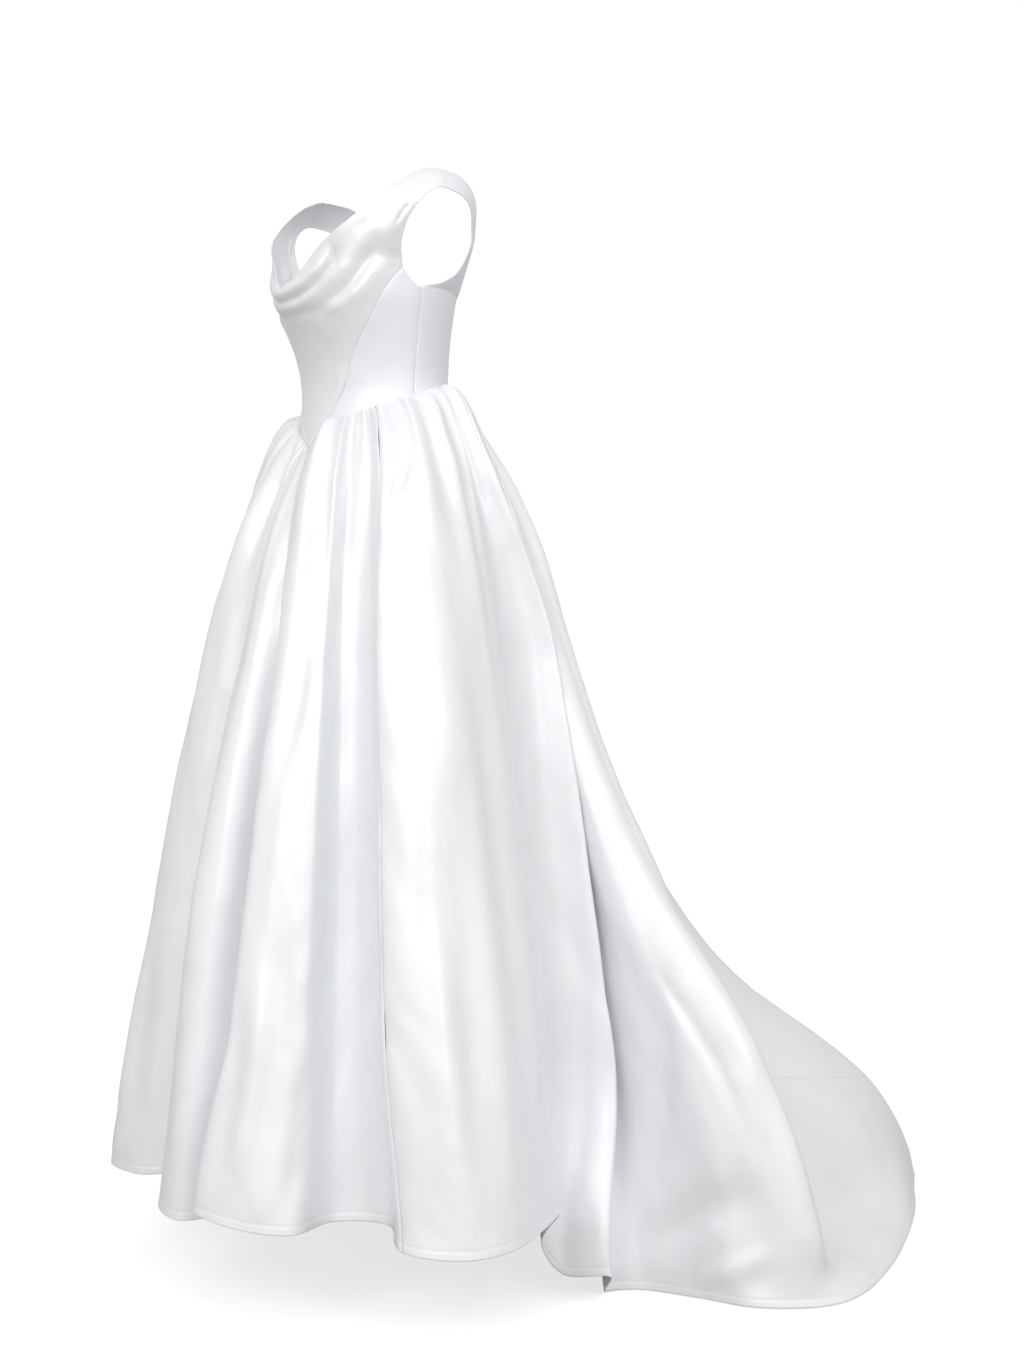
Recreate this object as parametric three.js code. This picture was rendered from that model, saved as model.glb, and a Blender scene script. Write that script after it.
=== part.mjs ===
// Satin wedding dress with a cowl neck, a pointed waist and a chapel train, worn shape without a wearer.
// Sizes are millimetres. Heights are measured from the floor that the train lies on, and the whole dress
// is then lowered so that its origin lies between the shoulders, where the wearer carries it.
// The dress faces -Y, the wearer's left is +X and +Z is up.

import * as THREE from 'three';

// Driving sizes
const CLOTH = 2;                 // satin with its inner support
const SEAM_GAP = 0.3;            // between two sewn pieces
const HOLD_HEIGHT = 1540;        // shoulder seam at the neck edge, above the floor
const SIDE_BACK_SEAM = 89;       // degrees round the body from centre front
const SKIRT_SEAM_FOLD = 9;       // rows of NEAR_FOLDS from centre front to the skirt's side seam
const GATHERS = 32;              // small pleats in the waist seam
const GATHER_DEPTH = 4.5;
const COLUMNS_PER_FOLD = 3;      // mesh columns between two rows of the fold table
const CHEST_RADIUS = 145;        // how round the cloth is between neck edge and armhole
const STRAP_BOW = 2;             // extra outward bow of the straps at their middle
const SIDE_TOP = 1404;           // top of the side front at the princess seam
const SIDE_LOW = 1164;           // lower end of the side front, beside the waist point
const SEAM_TURN = 0.2;           // degrees that leave the seam gap on the chest
const SKIRT_DROP = 0.5;          // the skirt's top edge below the bodice's
const SKIRT_SEAM = 0.35;         // from each skirt piece to the middle of its seam
const FAR_STRAP = { from: 1425, to: 1475, wider: 1.015, forward: 3 };  // the far shoulder sits wider
const PLACKET = 1.4;             // thickness of the strip behind the centre back closing

// Level sections through the bodice, from the waist point up
const BODY_SECTIONS = [
  { height: 1150, halfWidth: 134, front: 106, back: 107 },
  { height: 1200, halfWidth: 128, front: 99, back: 102 },
  { height: 1235, halfWidth: 125, front: 96, back: 100 },
  { height: 1270, halfWidth: 128, front: 99, back: 101 },
  { height: 1302, halfWidth: 134, front: 107, back: 101 },
  { height: 1330, halfWidth: 140, front: 119, back: 103 },
  { height: 1359, halfWidth: 146, front: 134, back: 106 },
  { height: 1387, halfWidth: 150, front: 140, back: 113 },
  { height: 1424, halfWidth: 155, front: 139, back: 122 },
  { height: 1450, halfWidth: 160, front: 132, back: 131 },
];

// Where the waist seam runs: low at the front point, high at the back
const WAIST_SEAM = [
  { angle: 0, height: 1161 },
  { angle: 14, height: 1178 },
  { angle: 30, height: 1191 },
  { angle: 60, height: 1210 },
  { angle: 90, height: 1229 },
  { angle: 120, height: 1240 },
  { angle: 180, height: 1248 },
];

// The seam from the front point of the waist up to the armhole
const PRINCESS_SEAM = [
  { height: 1161, angle: 1.5 },
  { height: 1171, angle: 5.5 },
  { height: 1200, angle: 18 },
  { height: 1225, angle: 26.5 },
  { height: 1246, angle: 32.5 },
  { height: 1275, angle: 37.5 },
  { height: 1302, angle: 45 },
  { height: 1339, angle: 57.5 },
  { height: 1379, angle: 68.5 },
  { height: 1405, angle: 74 },
];

// Sections of the front strap and neckline on the wearer's left, from the shoulder seam to the chest
const FRONT_STRAP = [
  { neckX: 160, neckY: 6, neckZ: 1540, armX: 196, armY: 2, armZ: 1508 },
  { neckX: 158, neckY: -20, neckZ: 1532, armX: 193, armY: -14, armZ: 1502 },
  { neckX: 153, neckY: -46, neckZ: 1516, armX: 186, armY: -27, armZ: 1489 },
  { neckX: 145, neckY: -67, neckZ: 1499, armX: 177, armY: -35, armZ: 1473 },
  { neckX: 131, neckY: -87, neckZ: 1480, armX: 168, armY: -40, armZ: 1455 },
  { neckX: 109, neckY: -107, neckZ: 1459, armX: 160, armY: -41, armZ: 1438 },
  { neckX: 80, neckY: -122, neckZ: 1438, armX: 154, armY: -41, armZ: 1424 },
  { neckX: 42, neckY: -132, neckZ: 1413, armX: 150, armY: -40, armZ: 1413 },
];

// The same for the back, down to a low round back neckline
const BACK_STRAP = [
  { neckX: 160, neckY: 6, neckZ: 1540, armX: 196, armY: 2, armZ: 1508 },
  { neckX: 158, neckY: 43, neckZ: 1536, armX: 192, armY: 30, armZ: 1503 },
  { neckX: 152, neckY: 72, neckZ: 1521, armX: 184, armY: 51, armZ: 1493 },
  { neckX: 144, neckY: 86, neckZ: 1500, armX: 174, armY: 63, armZ: 1479 },
  { neckX: 132, neckY: 92, neckZ: 1474, armX: 164, armY: 69, armZ: 1462 },
  { neckX: 119, neckY: 95, neckZ: 1447, armX: 157, armY: 73, armZ: 1443 },
  { neckX: 105, neckY: 93, neckZ: 1418, armX: 152, armY: 66, armZ: 1424 },
  { neckX: 83, neckY: 95, neckZ: 1394, armX: 151, armY: 54, armZ: 1405 },
  { neckX: 48, neckY: 104, neckZ: 1377, armX: 150, armY: 33, armZ: 1381 },
];

// Heights of the bodice sections at its inner edge (centre) and its outer edge (seam)
const FRONT_LEVELS = [
  { inner: 1392, outer: 1404 },
  { inner: 1374, outer: 1388 },
  { inner: 1352, outer: 1364 },
  { inner: 1326, outer: 1336 },
  { inner: 1298, outer: 1305 },
  { inner: 1268, outer: 1272 },
  { inner: 1240, outer: 1242 },
  { inner: 1213, outer: 1213 },
  { inner: 1186, outer: 1186 },
  { inner: 1161.5, outer: 1164 },
];
const BACK_LEVELS = [
  { inner: 1370, outer: 1371 },
  { inner: 1346, outer: 1344 },
  { inner: 1318, outer: 1310 },
  { inner: 1290, outer: 1278 },
  { inner: 1266, outer: 1250 },
  { inner: 1248, outer: 1229 },
];

// Top edge of the side front, along the underarm
const UNDERARM = [
  { angle: 73.7, height: 1404 },
  { angle: 78, height: 1397 },
  { angle: 83, height: 1384 },
  { angle: 87, height: 1374 },
  { angle: 90, height: 1371 },
];

// Swags of the cowl: rows by distance below the neck edge, rise of the cloth there
const COWL_SWAGS = [
  { below: 0, rise: 0 },
  { below: 10, rise: 3 },
  { below: 25, rise: -3.5 },
  { below: 41, rise: 3 },
  { below: 58, rise: -2 },
  { below: 76, rise: 1 },
  { below: 95, rise: 0 },
  { below: 400, rise: 0 },
];

// How the skirt falls: distance out from the waist seam and height, down four lines of cloth
const FRONT_FALL = [
  { out: 0, up: 1199 }, { out: 14, up: 1205 }, { out: 29, up: 1201 }, { out: 44, up: 1189 },
  { out: 60, up: 1166 }, { out: 87, up: 1108 }, { out: 101, up: 1064 }, { out: 123, up: 976 },
  { out: 143, up: 888 }, { out: 177, up: 715 }, { out: 207, up: 541 }, { out: 238, up: 367 },
  { out: 266, up: 192 }, { out: 276, up: 129 },
];
const POINT_FALL = [
  { out: 0, up: 1161 }, { out: 9, up: 1150 }, { out: 22, up: 1131 }, { out: 39, up: 1100 },
  { out: 60, up: 1058 }, { out: 83, up: 1000 }, { out: 108, up: 915 }, { out: 135, up: 800 },
  { out: 166, up: 640 }, { out: 197, up: 470 }, { out: 226, up: 300 }, { out: 248, up: 129 },
];
const RIDGE_FALL = [
  { out: 0, up: 1243 }, { out: 8, up: 1236 }, { out: 20, up: 1222 }, { out: 43, up: 1195 },
  { out: 74, up: 1150 }, { out: 108, up: 1097 }, { out: 148, up: 1011 }, { out: 192, up: 886 },
  { out: 253, up: 720 }, { out: 335, up: 555 }, { out: 425, up: 414 }, { out: 480, up: 315 },
  { out: 526, up: 223 }, { out: 562, up: 117 }, { out: 583, up: 40 }, { out: 603, up: 0 },
];
const BACK_FALL = [
  { out: 0, up: 1248 }, { out: 8, up: 1241 }, { out: 21, up: 1226 }, { out: 40, up: 1199 },
  { out: 65, up: 1158 }, { out: 96, up: 1090 }, { out: 150, up: 965 }, { out: 222, up: 800 },
  { out: 314, up: 620 }, { out: 429, up: 452 }, { out: 548, up: 335 }, { out: 703, up: 238 },
  { out: 808, up: 165 }, { out: 868, up: 100 }, { out: 902, up: 42 }, { out: 918, up: 0 },
];

// Main folds of the skirt. Each row is a crest or a hollow: its angle on the waist seam, its place at the
// hem, how far it falls like the ridge of the train or like the centre back, and how far it stands up
// above or sinks below that line half way down.
const FAR_FRONT_FOLDS = [
  { waist: -54, x: -375, y: -190, z: 123, ridge: 0, back: 0, lift: 0 },
  { waist: -46, x: -300, y: -205, z: 128, ridge: 0, back: 0, lift: -6 },
  { waist: -38, x: -235, y: -228, z: 130, ridge: 0, back: 0, lift: -8 },
  { waist: -30, x: -242, y: -292, z: 130, ridge: 0, back: 0, lift: 0 },
  { waist: -22, x: -178, y: -336, z: 130, ridge: 0, back: 0, lift: 0 },
  { waist: -13, x: -98, y: -328, z: 131, ridge: 0, back: 0, lift: 0 },
];
const NEAR_FOLDS = [
  { waist: -5, x: -45, y: -288, z: 135, ridge: 0, back: 0, lift: -12 },
  { waist: 3, x: 44, y: -357, z: 125, ridge: 0, back: 0, lift: 4 },
  { waist: 11, x: 112, y: -357, z: 119, ridge: 0, back: 0, lift: 4 },
  { waist: 17, x: 136, y: -302, z: 125, ridge: 0, back: 0, lift: -14 },
  { waist: 22, x: 170, y: -360, z: 143, ridge: 0, back: 0, lift: 4 },
  { waist: 30, x: 240, y: -332, z: 134, ridge: 0, back: 0, lift: 0 },
  { waist: 38, x: 288, y: -275, z: 129, ridge: 0, back: 0, lift: 0 },
  { waist: 44, x: 243, y: -190, z: 130, ridge: 0, back: 0, lift: -6 },
  { waist: 49, x: 298, y: -140, z: 130, ridge: 0, back: 0, lift: -4 },
  { waist: 54, x: 398, y: -175, z: 119, ridge: 0, back: 0, lift: 0 },
  { waist: 64, x: 460, y: -120, z: 115, ridge: 0, back: 0, lift: 0 },
  { waist: 76, x: 460, y: -45, z: 117, ridge: 0, back: 0, lift: 0 },
  { waist: 88, x: 415, y: 32, z: 124, ridge: 0, back: 0, lift: 4 },
  { waist: 98, x: 372, y: 80, z: 124, ridge: 0, back: 0, lift: 6 },
  { waist: 106, x: 290, y: 95, z: 70, ridge: 0, back: 0, lift: -6 },
  { waist: 113, x: 319, y: 110, z: 32, ridge: 0, back: 0, lift: 0 },
  { waist: 120, x: 376, y: 128, z: 34, ridge: 0.05, back: 0, lift: 6 },
  { waist: 127, x: 350, y: 170, z: 0, ridge: 0.2, back: 0, lift: -12 },
  { waist: 133, x: 366, y: 218, z: 0, ridge: 0.45, back: 0, lift: -10 },
  { waist: 139, x: 436, y: 263, z: 0, ridge: 0.7, back: 0, lift: 0 },
  { waist: 144, x: 512, y: 304, z: 0, ridge: 0.92, back: 0, lift: 2 },
  { waist: 149, x: 555, y: 388, z: 0, ridge: 1, back: 0, lift: 4 },
  { waist: 154, x: 536, y: 472, z: 0, ridge: 0.95, back: 0.05, lift: -10 },
  { waist: 160, x: 455, y: 592, z: 0, ridge: 0.7, back: 0.3, lift: -48 },
  { waist: 166, x: 322, y: 745, z: 0, ridge: 0.35, back: 0.65, lift: -28 },
  { waist: 173, x: 165, y: 890, z: 0, ridge: 0.1, back: 0.9, lift: 14 },
  { waist: 180, x: 0, y: 1003, z: 0, ridge: 0, back: 1, lift: 0 },
];
// The far side falls alike but not the same: shares by which its folds are wider or narrower there
const FAR_SIDE_SPREAD = [
  1, 1.02, 0.97, 1.01, 1, 1, 1, 0.97, 1.02, 1, 0.98, 1.03, 0.99, 1.02, 0.97, 1.01, 1,
];

// Rows of the skirt's mesh, as shares of the cloth's length from waist to hem
const SKIRT_ROWS = [0, 0.012, 0.03, 0.055, 0.09, 0.14, 0.2, 0.28, 0.38, 0.49, 0.6, 0.71, 0.81, 0.9, 0.96, 1];

const satin = new THREE.MeshStandardMaterial({ color: 0xf6f7fa, roughness: 0.34, metalness: 0 });
const satinSide = new THREE.MeshStandardMaterial({ color: 0xf3f4f9, roughness: 0.36, metalness: 0 });
const tape = new THREE.MeshStandardMaterial({ color: 0xf0f0f2, roughness: 0.7, metalness: 0 });

const radians = THREE.MathUtils.degToRad;
const mix = THREE.MathUtils.lerp;
const clamp = THREE.MathUtils.clamp;
const smooth = (x, from, to) => THREE.MathUtils.smoothstep(x, from, to);

// A smooth curve from b to c with the given slopes at its two ends
function curve(b, c, slopeB, slopeC, share) {
  const s2 = share * share;
  const s3 = s2 * share;
  return (2 * s3 - 3 * s2 + 1) * b + (s3 - 2 * s2 + share) * slopeB
    + (3 * s2 - 2 * s3) * c + (s3 - s2) * slopeC;
}

// Through four values, at a share from b to c
const through = (a, b, c, d, share) => curve(b, c, (c - a) / 2, (d - b) / 2, share);

// The same, but never past the values themselves
function steady(a, b, c, d, share) {
  const slope = (into, out) => (into * out > 0 ? 2 * into * out / (into + out) : 0);
  return curve(b, c, slope(b - a, c - b), slope(c - b, d - c), share);
}

// A column of a table, read smoothly at a value of its key column
function read(table, key, at, column) {
  const last = table.length - 1;
  let i = 0;
  while (i < last - 1 && at > table[i + 1][key]) {
    i += 1;
  }
  const a = table[i];
  const b = table[i + 1];
  const before = table[Math.max(i - 1, 0)];
  const after = table[Math.min(i + 2, last)];
  const span = b[key] - a[key];
  const share = clamp((at - a[key]) / span, 0, 1);
  const slopeA = (b[column] - before[column]) / (b[key] - before[key]) * span;
  const slopeB = (after[column] - a[column]) / (after[key] - a[key]) * span;
  return curve(a[column], b[column], slopeA, slopeB, share);
}

// A point of the body form, by degrees from centre front and height
function body(angle, height) {
  const turn = radians(angle);
  const depth = Math.cos(turn) > 0 ? 'front' : 'back';
  return new THREE.Vector3(
    read(BODY_SECTIONS, 'height', height, 'halfWidth') * Math.sin(turn),
    -read(BODY_SECTIONS, 'height', height, depth) * Math.cos(turn),
    height,
  );
}

const waistHeight = (angle) => read(WAIST_SEAM, 'angle', Math.abs(angle), 'height');
const princessAngle = (height) => read(PRINCESS_SEAM, 'height', height, 'angle');

// A section of a strap: from neck edge to armhole edge, bowed outwards
function strapSection(row, across) {
  const neck = new THREE.Vector3(row.neckX, row.neckY, row.neckZ);
  const arm = new THREE.Vector3(row.armX, row.armY, row.armZ);
  const chord = arm.clone().sub(neck);
  const inside = new THREE.Vector3(90, 0, 1400);
  const outward = neck.clone().lerp(arm, 0.5).sub(inside);
  outward.addScaledVector(chord, -outward.dot(chord) / chord.lengthSq()).normalize();
  const bow = chord.lengthSq() / (8 * CHEST_RADIUS) + STRAP_BOW;
  return neck.lerp(arm, across).addScaledVector(outward, 4 * bow * across * (1 - across));
}

// Sections of one half of the front, from the shoulder to the point of the waist
const frontSections = [
  ...FRONT_STRAP.map((row) => (across) => strapSection(row, across)),
  ...FRONT_LEVELS.map((level) => (across) => {
    const height = mix(level.inner, level.outer, across);
    return body((princessAngle(level.outer) - SEAM_TURN) * across, height);
  }),
];

// Sections of one half of the back, from the shoulder to the waist
const backSections = [
  ...BACK_STRAP.map((row) => (across) => strapSection(row, across)),
  ...BACK_LEVELS.map((level, i) => (across) => {
    const angle = mix(180, SIDE_BACK_SEAM, across);
    const low = smooth(i, 1, BACK_LEVELS.length - 1);
    return body(angle, mix(mix(level.inner, level.outer, across), waistHeight(angle), low));
  }),
];

// A point between sections, down is counted in sections. Over the shoulder the cloth runs on into the
// first section beyond it, and at the waist it ends straight.
function between(sections, beyond, across, down) {
  const last = sections.length - 1;
  const i = clamp(Math.floor(down), 0, last - 1);
  const share = down - i;
  const a = i > 0 ? sections[i - 1](across) : strapSection(beyond, across);
  const b = sections[i](across);
  const c = sections[i + 1](across);
  const d = i + 2 > last ? c.clone().multiplyScalar(2).sub(b) : sections[i + 2](across);
  return new THREE.Vector3(
    steady(a.x, b.x, c.x, d.x, share),
    steady(a.y, b.y, c.y, d.y, share),
    steady(a.z, b.z, c.z, d.z, share),
  );
}
const lastFront = frontSections.length - 1;
const lastBack = backSections.length - 1;
const onFront = (across, down) => between(frontSections, BACK_STRAP[1], across, down);
const onBack = (across, down) => between(backSections, FRONT_STRAP[1], across, down);

// The unit normal of a surface function, to the side that faces out
function normalAt(surface, u, v, du, dv) {
  const alongU = surface(u + du, v).sub(surface(u - du, v));
  const alongV = surface(u, v + dv).sub(surface(u, v - dv));
  return alongV.cross(alongU).normalize();
}

// Below the bust the cloth lies on the body form, and faces as the form does
const PLAIN_BELOW = 1290;
function bodyNormal(point) {
  const front = read(BODY_SECTIONS, 'height', point.z, point.y < 0 ? 'front' : 'back');
  const halfWidth = read(BODY_SECTIONS, 'height', point.z, 'halfWidth');
  const angle = THREE.MathUtils.radToDeg(Math.atan2(point.x / halfWidth, -point.y / front));
  return normalAt(body, angle, point.z, 1, -2);
}

// How much the cowl's swags lift the cloth, by its distance from the neck edge
const neckEdge = [...Array(25).keys()].map((k) => onFront(0, k / 24 * FRONT_STRAP.length));
function cowlRise(point, across) {
  const below = Math.min(...neckEdge.map((edge) => edge.distanceTo(point)));
  const nearCentre = 1 - smooth(point.x, 70, 150);
  return read(COWL_SWAGS, 'below', below, 'rise') * nearCentre * (1 - smooth(across, 0.75, 1));
}

function frontPoint(across, down) {
  const bare = (u, v) => onFront(u, Math.min(v, lastFront));
  const point = bare(across, down);
  const normal = normalAt(bare, across, down, 0.02, 0.05);
  point.addScaledVector(normal, cowlRise(point, across));
  point.x = across === 0 && down >= FRONT_STRAP.length ? 0 : point.x;
  return point;
}

// The side front hangs from the underarm to the waist seam. Its two long edges are the edges of the
// front and of the back, each turned round the body by the seam gap, most where the seam slants at the waist.
function sidePoint(across, down) {
  const up = new THREE.Vector3(0, 0, 1);
  const turn = radians(SEAM_TURN * (1 + down));
  const frontEdge = onFront(1, mix(FRONT_STRAP.length, lastFront, down));
  const backEdge = onBack(1, mix(BACK_STRAP.length, lastBack, down));
  frontEdge.applyAxisAngle(up, turn);
  backEdge.applyAxisAngle(up, -turn);
  const topAngle = mix(princessAngle(SIDE_TOP), SIDE_BACK_SEAM, across);
  const topEdge = read(UNDERARM, 'angle', topAngle, 'height') - mix(SIDE_TOP, BACK_LEVELS[0].outer, across);
  const lowAngle = mix(princessAngle(SIDE_LOW), SIDE_BACK_SEAM, across);
  const lowEdge = waistHeight(lowAngle) - mix(SIDE_LOW, waistHeight(SIDE_BACK_SEAM), across);
  const bent = topEdge * (1 - smooth(down, 0, 0.3)) + lowEdge * smooth(down, 0.5, 1);
  const level = mix(frontEdge.z, backEdge.z, across) + bent;
  const angle = mix(princessAngle(frontEdge.z), SIDE_BACK_SEAM, across);
  const point = body(angle, level);
  point.addScaledVector(frontEdge.sub(body(princessAngle(frontEdge.z), frontEdge.z)), (1 - across) ** 2);
  return point.addScaledVector(backEdge.sub(body(SIDE_BACK_SEAM, backEdge.z)), across ** 2);
}

// The back half of the bodice, clear of the closing at its centre
function backPoint(across, down) {
  const point = onBack(across, Math.min(down, lastBack));
  point.x = Math.max(point.x, SEAM_GAP / 2);
  return point;
}

// A line of falling cloth, as shares of its way out and down at each share of its length
function fallLine(table) {
  let run = 0;
  const rows = table.map((row, i) => {
    if (i > 0) {
      run += Math.hypot(row.out - table[i - 1].out, row.up - table[i - 1].up);
    }
    return { run, ...row };
  });
  const first = table[0];
  const last = table[table.length - 1];
  return rows.map((row) => ({
    length: row.run / run,
    out: (row.out - first.out) / (last.out - first.out),
    down: (first.up - row.up) / (first.up - last.up),
  }));
}
const frontFall = fallLine(FRONT_FALL);
const pointFall = fallLine(POINT_FALL);
const ridgeFall = fallLine(RIDGE_FALL);
const backFall = fallLine(BACK_FALL);

// All folds once round, from centre back over the wearer's right side to centre back again
const farBack = NEAR_FOLDS.slice(SKIRT_SEAM_FOLD + 1).map((fold, i) => ({
  ...fold,
  waist: -fold.waist,
  x: -fold.x * FAR_SIDE_SPREAD[i],
  y: fold.y * FAR_SIDE_SPREAD[i],
})).reverse();
const folds = [...farBack, ...FAR_FRONT_FOLDS, ...NEAR_FOLDS];
const foldCount = folds.length - 1;
const farSeam = farBack.length;
const nearSeam = farBack.length + FAR_FRONT_FOLDS.length + SKIRT_SEAM_FOLD;

function foldAt(around, column) {
  const i = Math.floor(around);
  const pick = (k) => {
    const wrapped = ((k % foldCount) + foldCount) % foldCount;
    const turns = Math.round((k - wrapped) / foldCount);
    return folds[wrapped][column] + (column === 'waist' ? 360 * turns : 0);
  };
  return through(pick(i - 1), pick(i), pick(i + 1), pick(i + 2), around - i);
}

// A wave that runs round the skirt unevenly, crest 1 and hollow -1
function gatherWave(around) {
  const turn = 2 * Math.PI * around / foldCount;
  return Math.cos(GATHERS * turn + 0.9 * Math.sin(3 * turn + 0.4) + 0.7 * Math.sin(8 * turn + 2));
}
function gatherReach(around) {
  const turn = 2 * Math.PI * around / foldCount;
  return 0.3 + 0.1 * Math.sin(11 * turn + 1) + 0.06 * Math.sin(17 * turn);
}

// A point of the skirt: around is counted in folds, down is a share of the cloth's length
function skirtPoint(around, down) {
  const angle = foldAt(around, 'waist');
  const seam = body(angle, waistHeight(angle > 180 ? angle - 360 : angle));
  seam.z -= SKIRT_DROP;
  const ridge = clamp(foldAt(around, 'ridge'), 0, 1);
  const back = clamp(foldAt(around, 'back'), 0, 1);
  const point = (1 - smooth(Math.abs(angle), 4, 30)) * (1 - ridge - back);
  const blend = (column) => read(frontFall, 'length', down, column) * (1 - ridge - back - point)
    + read(pointFall, 'length', down, column) * point
    + read(ridgeFall, 'length', down, column) * ridge
    + read(backFall, 'length', down, column) * back;
  const run = new THREE.Vector3(foldAt(around, 'x') - seam.x, foldAt(around, 'y') - seam.y, 0);
  const drop = seam.z - Math.max(foldAt(around, 'z'), 0);
  const step = 0.004;
  const fallen = (at, column) => read(frontFall, 'length', at, column);
  const steep = (column) => fallen(down + step, column) - fallen(down - step, column);
  const reach = run.length();
  const facing = new THREE.Vector2(steep('down') * drop, steep('out') * reach).normalize();
  const faded = 1 - smooth(down, 0.09, 0.09 + gatherReach(around));
  const rise = GATHER_DEPTH * gatherWave(around) * smooth(down, 0.004, 0.035) * faded;
  const stand = foldAt(around, 'lift') * smooth(down, 0.12, 0.55) * (1 - smooth(down, 0.75, 1));
  const outward = run.clone().divideScalar(reach);
  const place = seam.clone().addScaledVector(run, blend('out'));
  place.z -= drop * blend('down');
  place.addScaledVector(outward, facing.x * (rise + stand));
  place.z += facing.y * (rise + stand);
  return place;
}

// The wearer's right half is the left half mirrored, with its shoulder a little wider and further forward
function mirror(point) {
  const high = smooth(point.z, FAR_STRAP.from, FAR_STRAP.to);
  const wider = mix(1, FAR_STRAP.wider, high);
  return new THREE.Vector3(-point.x * wider, point.y - FAR_STRAP.forward * high, point.z);
}

// A closed cloth wall over a grid of points on its outer face. rows and columns are lists of places,
// surface gives the point there, and the inner face lies one cloth thickness behind it.
function clothWall(patches, thickness, behind = 0) {
  const outer = [];
  const inner = [];
  const quads = [];
  const known = new Map();
  const add = (point, normal) => {
    const key = point.toArray().map((n) => Math.round(n * 1000)).join(' ');
    if (!known.has(key)) {
      known.set(key, outer.length);
      outer.push(point.clone().addScaledVector(normal, -behind));
      inner.push(point.clone().addScaledVector(normal, -behind - thickness));
    }
    return known.get(key);
  };
  for (const { surface, columns, rows, mirrored, onBody, du, dv } of patches) {
    const grid = rows.map((v) => columns.map((u) => {
      const point = surface(u, v);
      const plain = onBody && point.z < PLAIN_BELOW;
      const normal = plain ? bodyNormal(point) : normalAt(surface, u, v, du, dv);
      if (!mirrored) {
        return add(point, normal);
      }
      normal.x *= -1;
      return add(mirror(point), normal);
    }));
    for (let r = 0; r < rows.length - 1; r += 1) {
      for (let c = 0; c < columns.length - 1; c += 1) {
        const quad = [grid[r][c], grid[r + 1][c], grid[r + 1][c + 1], grid[r][c + 1]];
        quads.push(mirrored ? quad.reverse() : quad);
      }
    }
  }
  return closeWall(outer, inner, quads);
}

// Joins outer face, inner face and the rims along every free edge
function closeWall(outer, inner, quads) {
  const count = outer.length;
  const triangles = [];
  const edges = new Map();
  for (const [a, b, c, d] of quads) {
    triangles.push(a, b, c, a, c, d);
    triangles.push(a + count, c + count, b + count, a + count, d + count, c + count);
    for (const [from, to] of [[a, b], [b, c], [c, d], [d, a]]) {
      edges.set(`${from} ${to}`, [from, to]);
    }
  }
  for (const [from, to] of edges.values()) {
    if (!edges.has(`${to} ${from}`)) {
      triangles.push(from, from + count, to + count, from, to + count, to);
    }
  }
  const geometry = new THREE.BufferGeometry();
  const places = [...outer, ...inner].flatMap((point) => point.toArray());
  geometry.setAttribute('position', new THREE.Float32BufferAttribute(places, 3));
  geometry.setIndex(triangles);
  geometry.computeVertexNormals();
  return geometry;
}

const steps = (from, to, count) => [...Array(count + 1).keys()].map((k) => mix(from, to, k / count));

function piece(name, geometry, material) {
  const mesh = new THREE.Mesh(geometry, material);
  mesh.name = name;
  return mesh;
}

const dress = new THREE.Group();
dress.position.z = -HOLD_HEIGHT;

// Bodice: one centre front with its straps, two side fronts and two backs
const swagRows = { from: 3, to: FRONT_STRAP.length + 4 };
const frontRows = [
  ...steps(0.006, swagRows.from, 6),
  ...steps(swagRows.from, swagRows.to, 3 * (swagRows.to - swagRows.from)).slice(1),
  ...steps(swagRows.to, lastFront, 2 * (lastFront - swagRows.to)).slice(1),
];
const frontHalf = {
  surface: frontPoint,
  columns: steps(0, 1, 9),
  rows: frontRows,
  onBody: true,
  du: 0.01,
  dv: 0.05,
};
dress.add(piece('front_panel', clothWall([frontHalf, { ...frontHalf, mirrored: true }], CLOTH), satin));

const sideHalf = {
  surface: sidePoint,
  columns: steps(0, 1, 8),
  rows: frontRows.filter((row) => row >= FRONT_STRAP.length)
    .map((row) => (row - FRONT_STRAP.length) / (lastFront - FRONT_STRAP.length)),
  onBody: true,
  du: 0.01,
  dv: 0.01,
};
const backHalf = {
  surface: backPoint,
  columns: steps(1, 0, 9),
  rows: steps(0.006, lastBack, 20),
  onBody: true,
  du: -0.01,
  dv: 0.05,
};
for (const [side, mirrored] of [['left', false], ['right', true]]) {
  dress.add(piece(`side_front_${side}`, clothWall([{ ...sideHalf, mirrored }], CLOTH), satinSide));
  dress.add(piece(`back_${side}`, clothWall([{ ...backHalf, mirrored }], CLOTH), satinSide));
}

// The strip behind the centre back closing follows the inside of both backs, from neck edge to waist
const stripHalf = {
  ...backHalf,
  surface: onBack,
  columns: backHalf.columns.slice(-2),
  rows: backHalf.rows.filter((row) => row > BACK_STRAP.length),
};
const strip = clothWall([stripHalf, { ...stripHalf, mirrored: true }], PLACKET, CLOTH + 1.5 * SEAM_GAP);
dress.add(piece('back_placket', strip, tape));

// Skirt: a front between the side seams, and two backs that run out into the train
function besideSeam(seam, side, down) {
  const reach = 0.1;
  const width = skirtPoint(seam + side * reach, down).distanceTo(skirtPoint(seam, down)) / reach;
  return skirtPoint(seam + side * SKIRT_SEAM / width, down);
}
for (const [name, from, to] of [
  ['skirt_back_right', 0, farSeam],
  ['skirt_front', farSeam, nearSeam],
  ['skirt_back_left', nearSeam, foldCount],
]) {
  const surface = (around, down) => {
    if (around === from) {
      return besideSeam(from, 1, down);
    }
    return around === to ? besideSeam(to, -1, down) : skirtPoint(around, down);
  };
  const columns = steps(from, to, (to - from) * COLUMNS_PER_FOLD);
  dress.add(piece(name, clothWall([{ surface, columns, rows: SKIRT_ROWS, du: 0.1, dv: 0.006 }], CLOTH), satin));
}

export default dress;
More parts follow.
